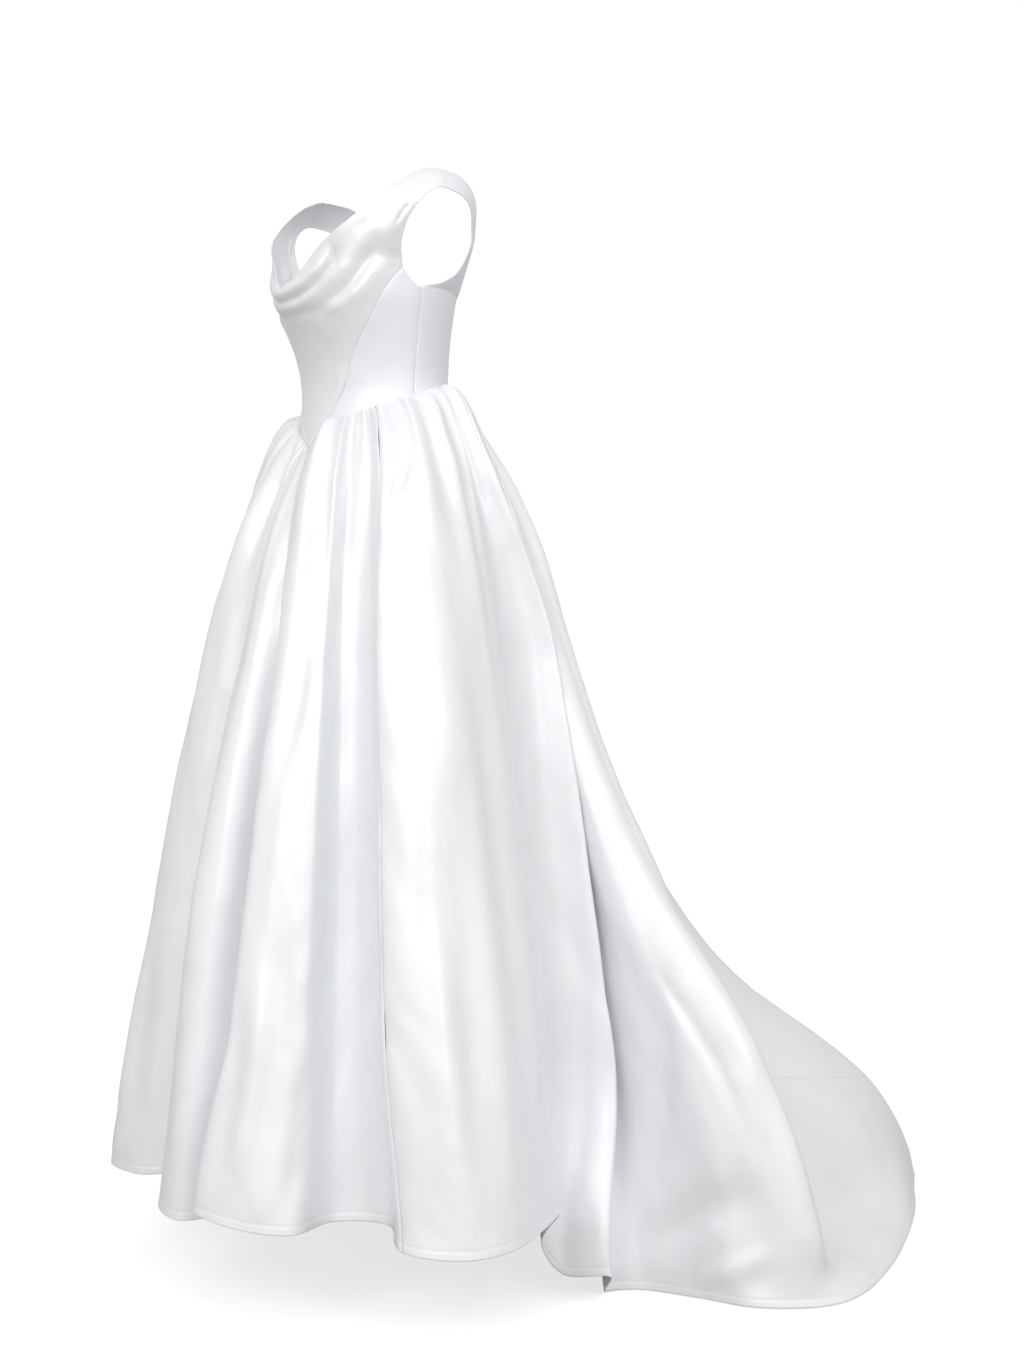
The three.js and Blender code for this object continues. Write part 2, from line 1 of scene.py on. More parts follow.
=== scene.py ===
# %% [markdown]
# # A satin wedding dress with a train
# The dress is hollow and keeps the shape of the body that would wear it: a fitted bodice with a draped
# cowl neck, a gathered skirt in deep folds, and a train that lies on the floor. Its plain walls come
# loaded as fixed solids. This lesson puts real satin over them: finer folds, gathers, seams, a stitched
# hem, a sheen that follows the cloth, and soft studio light.

# %% Load the dress
import math

import bpy
import numpy as np
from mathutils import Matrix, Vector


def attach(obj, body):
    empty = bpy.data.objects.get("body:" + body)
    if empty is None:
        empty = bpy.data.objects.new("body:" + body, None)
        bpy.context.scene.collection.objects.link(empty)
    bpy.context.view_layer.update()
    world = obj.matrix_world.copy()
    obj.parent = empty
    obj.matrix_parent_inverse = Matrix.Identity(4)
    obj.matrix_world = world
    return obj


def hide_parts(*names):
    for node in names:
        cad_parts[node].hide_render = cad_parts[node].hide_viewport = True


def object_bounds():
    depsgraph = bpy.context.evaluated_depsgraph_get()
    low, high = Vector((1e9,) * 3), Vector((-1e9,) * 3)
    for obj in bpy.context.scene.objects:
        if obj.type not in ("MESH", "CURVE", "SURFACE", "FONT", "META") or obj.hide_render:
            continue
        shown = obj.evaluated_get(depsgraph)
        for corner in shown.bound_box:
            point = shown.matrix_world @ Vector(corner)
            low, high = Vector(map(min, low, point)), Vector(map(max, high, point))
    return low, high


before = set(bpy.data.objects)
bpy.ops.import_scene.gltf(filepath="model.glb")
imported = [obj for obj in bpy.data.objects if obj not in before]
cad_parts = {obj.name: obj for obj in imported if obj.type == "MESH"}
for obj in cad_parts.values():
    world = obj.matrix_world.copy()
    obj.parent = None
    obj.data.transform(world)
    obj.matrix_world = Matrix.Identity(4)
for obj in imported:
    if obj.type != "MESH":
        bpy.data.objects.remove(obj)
cad_low, cad_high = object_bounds()
print("solids:", sorted(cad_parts))

# %% [markdown]
# ## The camera
# A camera is easiest to place like a photographer's: so many degrees round from the front, so far away,
# so high above the floor. The photo's horizon and the dress's own axis then say how far it is tilted
# down and turned aside. It could be placed by eye too, but with numbers each one can be corrected alone
# when the outline is held against the photo. Sizes here are metres, and heights count from the floor
# under the train.

# %% Place the camera
HOLD_HEIGHT = 1.540
PHOTO_SIZE = (1024, 1365)
AZIMUTH = math.radians(62)
DISTANCE = 3.25
CAMERA_HEIGHT = 0.945
FOCAL_PIXELS = 2244
HORIZON_PIXEL = 600
AXIS_PIXEL = 374
LONG_SIDE_MM = 36

turn_aside = math.atan((PHOTO_SIZE[0] / 2 - AXIS_PIXEL) / FOCAL_PIXELS)
tilt_down = math.atan((PHOTO_SIZE[1] / 2 - HORIZON_PIXEL) / FOCAL_PIXELS)
camera_data = bpy.data.cameras.new("camera")
camera_data.sensor_width = LONG_SIDE_MM
camera_data.lens = FOCAL_PIXELS / PHOTO_SIZE[1] * LONG_SIDE_MM
camera = bpy.data.objects.new("camera", camera_data)
camera.location = (
    DISTANCE * math.sin(AZIMUTH),
    -DISTANCE * math.cos(AZIMUTH),
    CAMERA_HEIGHT - HOLD_HEIGHT,
)
camera.rotation_euler = (math.pi / 2 - tilt_down, 0, AZIMUTH - turn_aside)
bpy.context.scene.collection.objects.link(camera)
bpy.context.scene.camera = camera
print("lens:", round(camera_data.lens, 1), "mm")

# %% [markdown]
# ## Short tables and smooth curves
# A garment's form is a handful of measured sections with smooth cloth between them. Each table below is
# short, has named columns, and is read by one function that runs a smooth curve through its rows.
# Curve objects could hold the same lines, but a table is read and changed at a glance. Doing this on
# whole arrays of points at once keeps it fast. The tables are in millimetres and degrees.

# %% Read tables smoothly
MM = 0.001


def columns(names, rows):
    """A short table as one array for each named column."""
    return dict(zip(names.split(), np.array(rows, float).T))


def curve(start, end, slope_start, slope_end, share):
    """A cubic from start to end with the given slopes."""
    s2, s3 = share**2, share**3
    from_values = (2 * s3 - 3 * s2 + 1) * start + (3 * s2 - 2 * s3) * end
    return from_values + (s3 - 2 * s2 + share) * slope_start + (s3 - s2) * slope_end


def read(table, key, at, column):
    """A column of a table, read smoothly at values of its key column."""
    keys, values = table[key], table[column]
    at = np.asarray(at, float)
    last = len(keys) - 1
    i = np.clip(np.searchsorted(keys, at) - 1, 0, last - 1)
    before, after = np.maximum(i - 1, 0), np.minimum(i + 2, last)
    span = keys[i + 1] - keys[i]
    share = np.clip((at - keys[i]) / span, 0, 1)
    slope_start = (values[i + 1] - values[before]) / (keys[i + 1] - keys[before]) * span
    slope_end = (values[after] - values[i]) / (keys[after] - keys[i]) * span
    return curve(values[i], values[i + 1], slope_start, slope_end, share)


def smooth(x, low, high):
    """0 below low, 1 above high, and soft between them."""
    t = np.clip((np.asarray(x, float) - low) / (high - low), 0, 1)
    return t * t * (3 - 2 * t)


def hump(x, rise, fall):
    """0, then 1 between two soft steps, then 0 again."""
    return smooth(x, *rise) * (1 - smooth(x, *fall))


def mix(a, b, share):
    return a + (b - a) * share


def point(x, y, z):
    return np.stack(np.broadcast_arrays(x, y, z), axis=-1).astype(float)


def unit(vectors):
    return vectors / np.maximum(np.linalg.norm(vectors, axis=-1, keepdims=True), 1e-9)


def run_length(points):
    """The length of a line of points."""
    return np.linalg.norm(np.diff(points, axis=0), axis=-1).sum()


print("a soft step, a quarter of the way along:", float(smooth(0.25, 0, 1)))

# %% [markdown]
# ## The body form and the seams on it
# Level sections give the bodice its waist and bust. Three seams are drawn on it: the waist seam, which
# dips to a point in front, the curved seam from that point up to the armhole, and the side back seam.
# Modelling the bodice by hand would be possible, but every panel would then need its own fitting. With
# one form underneath, neighbouring panels meet at their seams without any.

# %% Body sections and seams
SIDE_BACK_SEAM = 89
NARROWEST = 1235
BODY = columns("height half_width front back", [
    (1150, 134, 106, 107), (1200, 128, 99, 102), (1235, 125, 96, 100), (1270, 128, 99, 101),
    (1302, 134, 107, 101), (1330, 140, 119, 103), (1359, 146, 134, 106), (1387, 150, 140, 113),
    (1424, 155, 139, 122), (1450, 160, 132, 131),
])
WAIST_SEAM = columns("angle height", [
    (0, 1161), (14, 1178), (30, 1191), (60, 1210), (90, 1229), (120, 1240), (180, 1248),
])
PRINCESS_SEAM = columns("height angle", [
    (1161, 1.5), (1171, 5.5), (1200, 18), (1225, 26.5), (1246, 32.5),
    (1275, 37.5), (1302, 45), (1339, 57.5), (1379, 68.7), (1405, 76.8),
])
UNDERARM = columns("angle height", [
    (76.5, 1404), (79, 1393.5), (82, 1385.5), (85, 1380.4), (87.5, 1377.4), (90, 1376.2),
])
SIDE_TOP = 1404
SIDE_LOW = 1164


def body(angle, height):
    """Points of the body form, by degrees from centre front and height."""
    turn = np.radians(angle)
    front = read(BODY, "height", height, "front")
    back = read(BODY, "height", height, "back")
    depth = np.where(np.cos(turn) > 0, front, back)
    half_width = read(BODY, "height", height, "half_width")
    return point(half_width * np.sin(turn), -depth * np.cos(turn), height)


def waist_height(angle):
    return read(WAIST_SEAM, "angle", np.abs(angle), "height")


def princess_angle(height):
    return read(PRINCESS_SEAM, "height", height, "angle")


waist_ring = body(np.linspace(0, 360, 361), NARROWEST)
print("round the waist:", round(run_length(waist_ring) * MM, 2), "m")

# %% [markdown]
# ## Straps and neckline
# The straps leave the body form, so their sections are given edge by edge: where the neck edge is and
# where the armhole edge is, from the shoulder seam down. The cloth between the two edges bows outwards.
# Sections are then joined by curves that never swing past them, so that the walls can't cross.

# %% Straps and levels of the bodice
FRONT_STRAP = columns("neck_x neck_y neck_z arm_x arm_y arm_z", [
    (160, 6, 1540, 196, 2, 1508), (158, -20, 1532, 193, -14, 1502),
    (153, -46, 1516, 186, -27, 1489), (145, -67, 1499, 177, -35, 1473),
    (131, -87, 1480, 168, -40, 1455), (109, -107, 1459, 160, -41, 1438),
    (80, -122, 1438, 154, -39, 1424), (42, -132, 1413, 150, -35, 1413),
])
BACK_STRAP = columns("neck_x neck_y neck_z arm_x arm_y arm_z", [
    (160, 6, 1540, 196, 2, 1508), (158, 43, 1536, 192, 30, 1503), (152, 72, 1521, 184, 51, 1493),
    (144, 86, 1500, 174, 63, 1479), (132, 92, 1474, 164, 69, 1462), (119, 95, 1447, 157, 73, 1443),
    (105, 93, 1418, 152, 64, 1416), (83, 95, 1394, 151, 48, 1395), (48, 104, 1377, 149.5, 22, 1382),
])
FRONT_LEVELS = columns("inner outer", [
    (1392, 1404), (1374, 1388), (1352, 1364), (1326, 1336), (1298, 1305),
    (1268, 1272), (1240, 1242), (1213, 1213), (1186, 1186), (1161.5, 1164),
])
BACK_LEVELS = columns("inner outer", [
    (1370, 1376.4), (1346, 1346), (1318, 1310), (1290, 1278), (1266, 1250), (1248, 1229),
])
STRAPS_IN_FRONT = len(FRONT_STRAP["neck_x"])
STRAPS_BEHIND = len(BACK_STRAP["neck_x"])
LAST_FRONT = STRAPS_IN_FRONT + len(FRONT_LEVELS["inner"]) - 1
LAST_BACK = STRAPS_BEHIND + len(BACK_LEVELS["inner"]) - 1
print("sections in front:", LAST_FRONT + 1, "and behind:", LAST_BACK + 1)

# %% Sections from edge to edge
CHEST_RADIUS = 145
STRAP_BOW = 2
INSIDE_CHEST = np.array([90.0, 0, 1400])
SEAM_TURN = 0.2


def strap_section(strap, k, across):
    """One section of a strap, from neck edge to armhole edge, bowed outwards."""
    neck = np.array([strap["neck_x"][k], strap["neck_y"][k], strap["neck_z"][k]])
    arm = np.array([strap["arm_x"][k], strap["arm_y"][k], strap["arm_z"][k]])
    chord = arm - neck
    outward = (neck + arm) / 2 - INSIDE_CHEST
    outward = unit(outward - chord * (outward @ chord) / (chord @ chord))
    bow = chord @ chord / (8 * CHEST_RADIUS) + STRAP_BOW
    across = across[:, None]
    return neck + chord * across + outward * 4 * bow * across * (1 - across)


def front_sections(across):
    """All sections of the front, from the shoulder seam down to the waist point."""
    straps = [strap_section(FRONT_STRAP, k, across) for k in range(STRAPS_IN_FRONT)]
    levels = []
    for inner, outer in zip(FRONT_LEVELS["inner"], FRONT_LEVELS["outer"]):
        levels.append(body((princess_angle(outer) - SEAM_TURN) * across, mix(inner, outer, across)))
    return np.array(straps + levels)


def back_sections(across):
    """All sections of a back, turning level by level until the last follows the waist seam."""
    straps = [strap_section(BACK_STRAP, k, across) for k in range(STRAPS_BEHIND)]
    levels = []
    for k, (inner, outer) in enumerate(zip(BACK_LEVELS["inner"], BACK_LEVELS["outer"])):
        angle = mix(180, SIDE_BACK_SEAM, across)
        low = smooth(k, 1, len(BACK_LEVELS["inner"]) - 1)
        levels.append(body(angle, mix(mix(inner, outer, across), waist_height(angle), low)))
    return np.array(straps + levels)


shoulder = strap_section(FRONT_STRAP, 0, np.linspace(0, 1, 9))
print("a strap at the shoulder is", round(run_length(shoulder)), "mm wide")


# %% Join the sections
def steady(a, b, c, d, share):
    """Through four values, at a share from b to c, and never past the values themselves."""
    def slope(into, out):
        rising = into * out > 0
        return np.where(rising, 2 * into * out / np.where(rising, into + out, 1), 0)
    return curve(b, c, slope(b - a, c - b), slope(c - b, d - c), share)


def between(sections, beyond, down):
    """A grid of points between sections, where down is counted in sections."""
    last = len(sections) - 1
    ends = 2 * sections[-1] - sections[-2]
    rows = np.concatenate([beyond[None], sections, ends[None]])
    down = np.asarray(down, float)
    i = np.clip(np.floor(down).astype(int), 0, last - 1)
    share = (down - i)[:, None, None]
    return steady(rows[i], rows[i + 1], rows[i + 2], rows[i + 3], share)


def on_front(across, down):
    return between(front_sections(across), strap_section(BACK_STRAP, 1, across), down)


def on_back(across, down):
    return between(back_sections(across), strap_section(FRONT_STRAP, 1, across), down)


NECK_EDGE = on_front(np.zeros(1), np.linspace(0, STRAPS_IN_FRONT, 60))[:, 0]
print("neck edge from the shoulder to the centre:", round(run_length(NECK_EDGE)), "mm")

# %% [markdown]
# ## The fall of the skirt
# Four lines say how the cloth leaves the waist seam and falls: down the front, below the waist point,
# along the ridge of the train and down the centre back. A second table lists the folds one by one, each
# crest and each hollow with its place at the hem. Between the rows the cloth is a smooth blend. A cloth
# simulation would drape a skirt as well, but not into the folds that this one shows.

# %% Fall lines
FRONT_FALL = columns("out up", [
    (0, 1199), (14, 1205), (29, 1201), (44, 1189), (60, 1166), (87, 1108), (101, 1064), (123, 976),
    (143, 888), (177, 715), (207, 541), (238, 367), (266, 192), (276, 129),
])
POINT_FALL = columns("out up", [
    (0, 1161), (9, 1150), (22, 1131), (39, 1100), (60, 1058), (83, 1000), (108, 915), (135, 800),
    (166, 640), (197, 470), (226, 300), (248, 129),
])
RIDGE_FALL = columns("out up", [
    (0, 1243), (8, 1236), (20, 1222), (43, 1195), (74, 1150), (108, 1097), (148, 1011), (192, 886),
    (253, 720), (335, 555), (425, 414), (480, 315), (526, 223), (562, 117), (583, 40), (603, 0),
])
BACK_FALL = columns("out up", [
    (0, 1248), (8, 1241), (21, 1226), (40, 1199), (65, 1158), (96, 1090), (150, 965), (222, 800),
    (314, 620), (429, 452), (548, 335), (703, 238), (808, 165), (868, 100), (902, 42), (918, 0),
])


def fall_line(table):
    """A fall as shares of its way out and down, at each share of its length."""
    out, up = table["out"], table["up"]
    run = np.concatenate([[0], np.cumsum(np.hypot(np.diff(out), np.diff(up)))])
    return {
        "length": run / run[-1],
        "out": (out - out[0]) / (out[-1] - out[0]),
        "down": (up[0] - up) / (up[0] - up[-1]),
    }


falls = {
    name: fall_line(table)
    for name, table in
    (("front", FRONT_FALL), ("point", POINT_FALL), ("ridge", RIDGE_FALL), ("back", BACK_FALL))
}
print("fall lines:", list(falls))

# %% The folds one by one
# waist is in degrees from centre front, and x, y and z are the place at the hem. ridge and back are the
# shares of those two falls. lift, low and sway move the cloth outwards halfway down, outwards low down,
# and sideways.
FOLD_COLUMNS = "waist x y z ridge back lift low sway"
FAR_FRONT_FOLDS = columns(FOLD_COLUMNS, [
    (-54, -375, -190, 123, 0, 0, 0, 0, 0), (-46, -300, -205, 128, 0, 0, -6, 0, 0),
    (-38, -235, -228, 130, 0, 0, -8, 0, 0), (-30, -242, -292, 130, 0, 0, 0, 0, 0),
    (-22, -178, -336, 130, 0, 0, 0, 0, 0), (-13, -98, -328, 131, 0, 0, 0, 0, 0),
])
NEAR_FOLDS = columns(FOLD_COLUMNS, [
    (-5, -45, -288, 135, 0, 0, -12, 0, 0), (3, 44, -357, 125, 0, 0, 4, 0, 9),
    (11, 112, -357, 119, 0, 0, 4, 0, 9), (17, 136, -302, 125, 0, 0, -14, 0, 20),
    (22, 170, -360, 143, 0, 0, 4, 0, 30), (30, 240, -332, 134, 0, 0, 0, 0, 20),
    (38, 288, -275, 129, 0, 0, 0, 0, 6), (44, 262, -200, 130, 0, 0, -4, 0, -4),
    (49, 314, -148, 130, 0, 0, -2, 0, -10), (54, 398, -175, 119, 0, 0, 0, 0, -15),
    (64, 460, -120, 115, 0, 0, 0, 0, -5), (76, 460, -45, 117, 0, 0, 0, 0, 0),
    (88, 415, 32, 124, 0, 0, 4, 0, 0), (98, 372, 80, 124, 0, 0, 6, 0, 0),
    (106, 328, 80, 76, 0, 0, 0, 0, 34), (113, 342, 106, 32, 0, 0, 4, 0, 60),
    (120, 388, 151, 34, 0.05, 0, 6, 0, 62), (127, 350, 170, 0, 0.2, 0, -12, 0, 60),
    (133, 366, 218, 0, 0.45, 0, -10, 0, 30), (139, 436, 263, 0, 0.7, 0, 0, 0, 8),
    (144, 512, 304, 0, 0.92, 0, 2, 0, 0), (149, 555, 388, 0, 1, 0, 4, 20, 0),
    (154, 536, 472, 0, 0.95, 0.05, -10, -46, 0), (160, 455, 592, 0, 0.7, 0.3, -48, -75, 0),
    (166, 322, 745, 0, 0.35, 0.65, -28, -40, 0), (173, 165, 890, 0, 0.1, 0.9, 14, 0, 0),
    (180, 0, 1003, 0, 0, 1, 0, 0, 0),
])
SKIRT_SEAM_FOLD = 9
FAR_SIDE_SPREAD = np.array(
    [1, 1.02, 0.97, 1.01, 1, 1, 1, 0.97, 1.02, 1, 0.98, 1.03, 0.99, 1.02, 0.97, 1.01, 1]
)
behind = {name: values[SKIRT_SEAM_FOLD + 1:].copy() for name, values in NEAR_FOLDS.items()}
behind["waist"] = -behind["waist"]
behind["x"] = -behind["x"] * FAR_SIDE_SPREAD
behind["y"] = behind["y"] * FAR_SIDE_SPREAD
behind["sway"] = -behind["sway"]
FOLDS = {
    name: np.concatenate([behind[name][::-1], FAR_FRONT_FOLDS[name], NEAR_FOLDS[name]])
    for name in NEAR_FOLDS
}
FOLD_COUNT = len(FOLDS["waist"]) - 1
FAR_SEAM = len(behind["waist"])
NEAR_SEAM = FAR_SEAM + len(FAR_FRONT_FOLDS["waist"]) + SKIRT_SEAM_FOLD
print("folds round the skirt:", FOLD_COUNT)

# %% Points of the skirt
FAR_TIP_SPREAD = 1.9
TIP_FADE = (4, 30)
GATHERS = 32
GATHER_DEPTH = 4.5
GATHER_START = (0.004, 0.035)
GATHER_FADE = 0.09
SKIRT_DROP = 0.5
LIFTED = ((0.12, 0.55), (0.75, 1))
LIFTED_LOW = ((0.5, 0.85), (0.93, 1))
SWAYED = ((0.05, 0.35), (0.78, 1))
STEP = 0.004


def fold_at(around, column):
    """A column of the fold table, smoothly, counted in folds from centre back and round again."""
    around = np.asarray(around, float)
    i = np.floor(around).astype(int)

    def pick(k):
        value = FOLDS[column][k % FOLD_COUNT]
        return value + 360 * (k // FOLD_COUNT) if column == "waist" else value
    a, b, c, d = pick(i - 1), pick(i), pick(i + 1), pick(i + 2)
    return curve(b, c, (c - a) / 2, (d - b) / 2, around - i)


def turned(points, degrees):
    """Points turned round the body's axis, anticlockwise from above."""
    turn = np.radians(degrees)
    x = points[..., 0] * np.cos(turn) - points[..., 1] * np.sin(turn)
    y = points[..., 0] * np.sin(turn) + points[..., 1] * np.cos(turn)
    return point(x, y, points[..., 2])


def gather_wave(turn):
    """Gathers that are nowhere the same width, because slower waves shift them to and fro."""
    return np.cos(GATHERS * turn + 0.9 * np.sin(3 * turn + 0.4) + 0.7 * np.sin(8 * turn + 2))


def skirt_point(around, down):
    """Points of the skirt: around is counted in folds, down is a share of the cloth's length."""
    around, down = np.broadcast_arrays(np.asarray(around, float), np.asarray(down, float))
    angle = fold_at(around, "waist")
    seam = body(angle, waist_height(np.where(angle > 180, angle - 360, angle)))
    seam[..., 2] -= SKIRT_DROP
    ridge = np.clip(fold_at(around, "ridge"), 0, 1)
    back = np.clip(fold_at(around, "back"), 0, 1)
    from_tip = np.where(angle > 0, angle, -angle / FAR_TIP_SPREAD)
    tip = (1 - smooth(from_tip, *TIP_FADE)) * (1 - ridge - back)
    shares = {"front": 1 - ridge - back - tip, "point": tip, "ridge": ridge, "back": back}

    def fallen(column):
        return sum(read(falls[name], "length", down, column) * share for name, share in shares.items())
    run = point(fold_at(around, "x"), fold_at(around, "y"), 0) - seam * [1, 1, 0]
    reach = np.linalg.norm(run, axis=-1)
    drop = seam[..., 2] - np.maximum(fold_at(around, "z"), 0)
    steep = {
        name: read(falls["front"], "length", down + STEP, name)
        - read(falls["front"], "length", down - STEP, name)
        for name in ("out", "down")
    }
    facing = unit(np.stack([steep["down"] * drop, steep["out"] * reach], axis=-1))
    turn = math.tau * around / FOLD_COUNT
    fade = 0.3 + 0.1 * np.sin(11 * turn + 1) + 0.06 * np.sin(17 * turn)
    gathers = gather_wave(turn) * smooth(down, *GATHER_START)
    gathers = gathers * (1 - smooth((down - GATHER_FADE) / fade, 0, 1))
    stand = fold_at(around, "lift") * hump(down, *LIFTED)
    stand += fold_at(around, "low") * hump(down, *LIFTED_LOW)
    rise = GATHER_DEPTH * gathers + stand
    outward = run / reach[..., None]
    sway = fold_at(around, "sway") * hump(down, *SWAYED)
    place = seam + run * fallen("out")[..., None] + turned(outward, 90) * sway[..., None]
    place[..., 2] -= drop * fallen("down")
    place += outward * (facing[..., 0] * rise)[..., None]
    place[..., 2] += facing[..., 1] * rise
    return place


print("the train's end, in mm behind the body's middle:", round(float(skirt_point(0, 1)[1])))

# %% [markdown]
# ## Small unevenness
# Real satin is never perfectly smooth. It has shallow buckles a few centimetres long, and drag lines
# where it is pulled. The buckles come from a cheap smooth noise: random values on a grid, with soft steps
# between them. The drag lines are placed one by one, each a soft trough or ridge along a short path. A
# Displace modifier could raise the buckles, but here they also have to run with the cloth and calm down
# beside a seam, so they are worked out together with the grid.

# %% Soft noise
NOISE_SIZE = 64


def soft_noise(x, y, seed):
    """Smooth noise between -1 and 1, that changes over about one unit of x and y."""
    values = np.random.default_rng(seed).uniform(-1, 1, (NOISE_SIZE, NOISE_SIZE))
    i, j = np.floor(x).astype(int), np.floor(y).astype(int)
    u, v = smooth(x - i, 0, 1), smooth(y - j, 0, 1)
    i, j = i % NOISE_SIZE, j % NOISE_SIZE
    k, m = (i + 1) % NOISE_SIZE, (j + 1) % NOISE_SIZE
    top = mix(values[i, j], values[k, j], u)
    return mix(top, mix(values[i, m], values[k, m], u), v)


tried = np.arange(0, 40, 0.3)
print("spread of the noise:", round(float(soft_noise(tried[:, None], tried, 1).std()), 2))


# %% Measure and crease a grid
def normals(grid):
    """Unit normals of a grid whose rows run down and whose columns run to the left of the wearer."""
    return unit(np.cross(np.gradient(grid, axis=0), np.gradient(grid, axis=1)))


def lengths(grid):
    """How far each point lies along its row and down its column, in the grid's unit."""
    along = np.linalg.norm(np.diff(grid, axis=1), axis=2)
    down = np.linalg.norm(np.diff(grid, axis=0), axis=2)
    along = np.concatenate([np.zeros((len(grid), 1)), np.cumsum(along, axis=1)], axis=1)
    down = np.concatenate([np.zeros((1, grid.shape[1])), np.cumsum(down, axis=0)], axis=0)
    return along - along[:, -1:] / 2, down


def crease(grid, path, width, depth, start=0.3, end=0.4):
    """A soft trough (depth below 0) or ridge along a path, fading over a share of it at each end."""
    path = np.array(path, float)
    starts, ends = path[:-1], path[1:]
    run = np.concatenate([[0], np.cumsum(np.linalg.norm(ends - starts, axis=1))])
    low_corner, high_corner = path.min(axis=0) - 3 * width, path.max(axis=0) + 3 * width
    near = np.all((grid > low_corner) & (grid < high_corner), axis=-1)
    points = grid[near]
    nearest = np.full(len(points), np.inf)
    share = np.zeros(len(points))
    for k, (low, high) in enumerate(zip(starts, ends)):
        chord = high - low
        t = np.clip((points - low) @ chord / (chord @ chord), 0, 1)
        away = np.linalg.norm(points - low - t[:, None] * chord, axis=-1)
        closer = away < nearest
        nearest = np.where(closer, away, nearest)
        share = np.where(closer, (run[k] + t * (run[k + 1] - run[k])) / run[-1], share)
    fade = smooth(share, -0.01, start) * (1 - smooth(share, 1 - end, 1.01))
    rise = np.zeros(grid.shape[:2])
    rise[near] = depth * fade * np.exp(-((nearest / width) ** 2))
    return rise


def relaxed(grid, passes):
    """Evens out the inside of a grid, with its edges kept."""
    grid = grid.copy()
    for _ in range(passes):
        around = grid[:-2, 1:-1] + grid[2:, 1:-1] + grid[1:-1, :-2] + grid[1:-1, 2:]
        grid[1:-1, 1:-1] = grid[1:-1, 1:-1] / 2 + around / 8
    return grid


tried = point(np.arange(40.0)[None], 0, -np.arange(60.0)[:, None])
trough = crease(tried, [(20, 0, -10), (20, 0, -50)], width=6, depth=-3)
print("a trough on a flat grid is", round(float(-trough.min()), 1), "mm deep")

# %% [markdown]
# ## From a grid to a cloth shell
# A shell of cloth has an outer face, an inner face and a rim that joins them. The rim is rounded here, as
# a turned edge of satin is, by one extra loop that stands out between the two faces. Near a seam the
# cloth turns in a little, which gives every seam its fine groove. A Solidify modifier could give the
# wall its thickness too. Here all is made at once, because the grid also gives the cloth's flat cut,
# which becomes the UV map that the threads of the satin follow.

# %% Faces and edges of a shell
SEAM_DIP = 0.55
SEAM_DIP_WIDTH = 3.0


def dip_edges(grid, sides):
    """How far the cloth turns in beside its seams. sides names the edges that are sewn."""
    along, down = lengths(grid)
    away = {
        "start": along - along[:, :1],
        "end": along[:, -1:] - along,
        "top": down,
        "low": down[-1:] - down,
    }
    dips = [-SEAM_DIP * np.exp(-((away[side] / SEAM_DIP_WIDTH) ** 2)) for side in sides]
    return sum(dips, np.zeros(grid.shape[:2]))


def outer_face(grids, joined_from):
    """Vertices, normals, flat places and quads of one or two grids, joined along a centre line."""
    vertices, facing, flat, quads, before = [], [], [], [], 0
    index = []
    for k, grid in enumerate(grids):
        rows, cols = grid.shape[:2]
        index.append(np.arange(rows * cols).reshape(rows, cols) + before)
        before += rows * cols
        along, down = lengths(grid)
        inner_end = 0 if k else -1
        centre = along[:, inner_end:inner_end + 1 or None]
        shift = 0 if len(grids) == 1 else centre - grid[:, inner_end:inner_end + 1 or None, 0]
        vertices.append(grid.reshape(-1, 3))
        facing.append(normals(grid).reshape(-1, 3))
        flat.append(np.stack([along - shift, down], axis=-1).reshape(-1, 2))
    if len(grids) == 2:
        index[1][joined_from:, 0] = index[0][joined_from:, -1]
    for rows in index:
        square = [rows[:-1, :-1], rows[1:, :-1], rows[1:, 1:], rows[:-1, 1:]]
        quads.append(np.stack(square, axis=-1).reshape(-1, 4))
    vertices, facing, flat = np.concatenate(vertices), np.concatenate(facing), np.concatenate(flat)
    quads = np.concatenate(quads)
    if len(grids) == 2:
        shared = index[1][joined_from:, 0]
        facing[shared] = unit(facing[shared] * [0, 1, 1])
    used, quads = np.unique(quads, return_inverse=True)
    return vertices[used], facing[used], flat[used], quads.reshape(-1, 4)


def rim_edges(quads):
    """The edges that only one quad has, with the cloth on their left."""
    edges = np.concatenate([quads[:, [k, (k + 1) % 4]] for k in range(4)])
    _, where, times = np.unique(np.sort(edges, axis=1), axis=0, return_inverse=True, return_counts=True)
    return edges[times[where.ravel()] == 1]


def flat_area(grid):
    """The area of a grid of cloth, from the diagonals of its squares."""
    diagonals = np.cross(grid[1:, 1:] - grid[:-1, :-1], grid[:-1, 1:] - grid[1:, :-1])
    return np.linalg.norm(diagonals, axis=-1).sum() / 2


print("a seam's groove is", SEAM_DIP, "mm deep")

# %% Make a shell of satin
CLOTH = 1.6
RIM_BULGE = 0.3
LEAST_SHARE = 0.31
triangles = {}


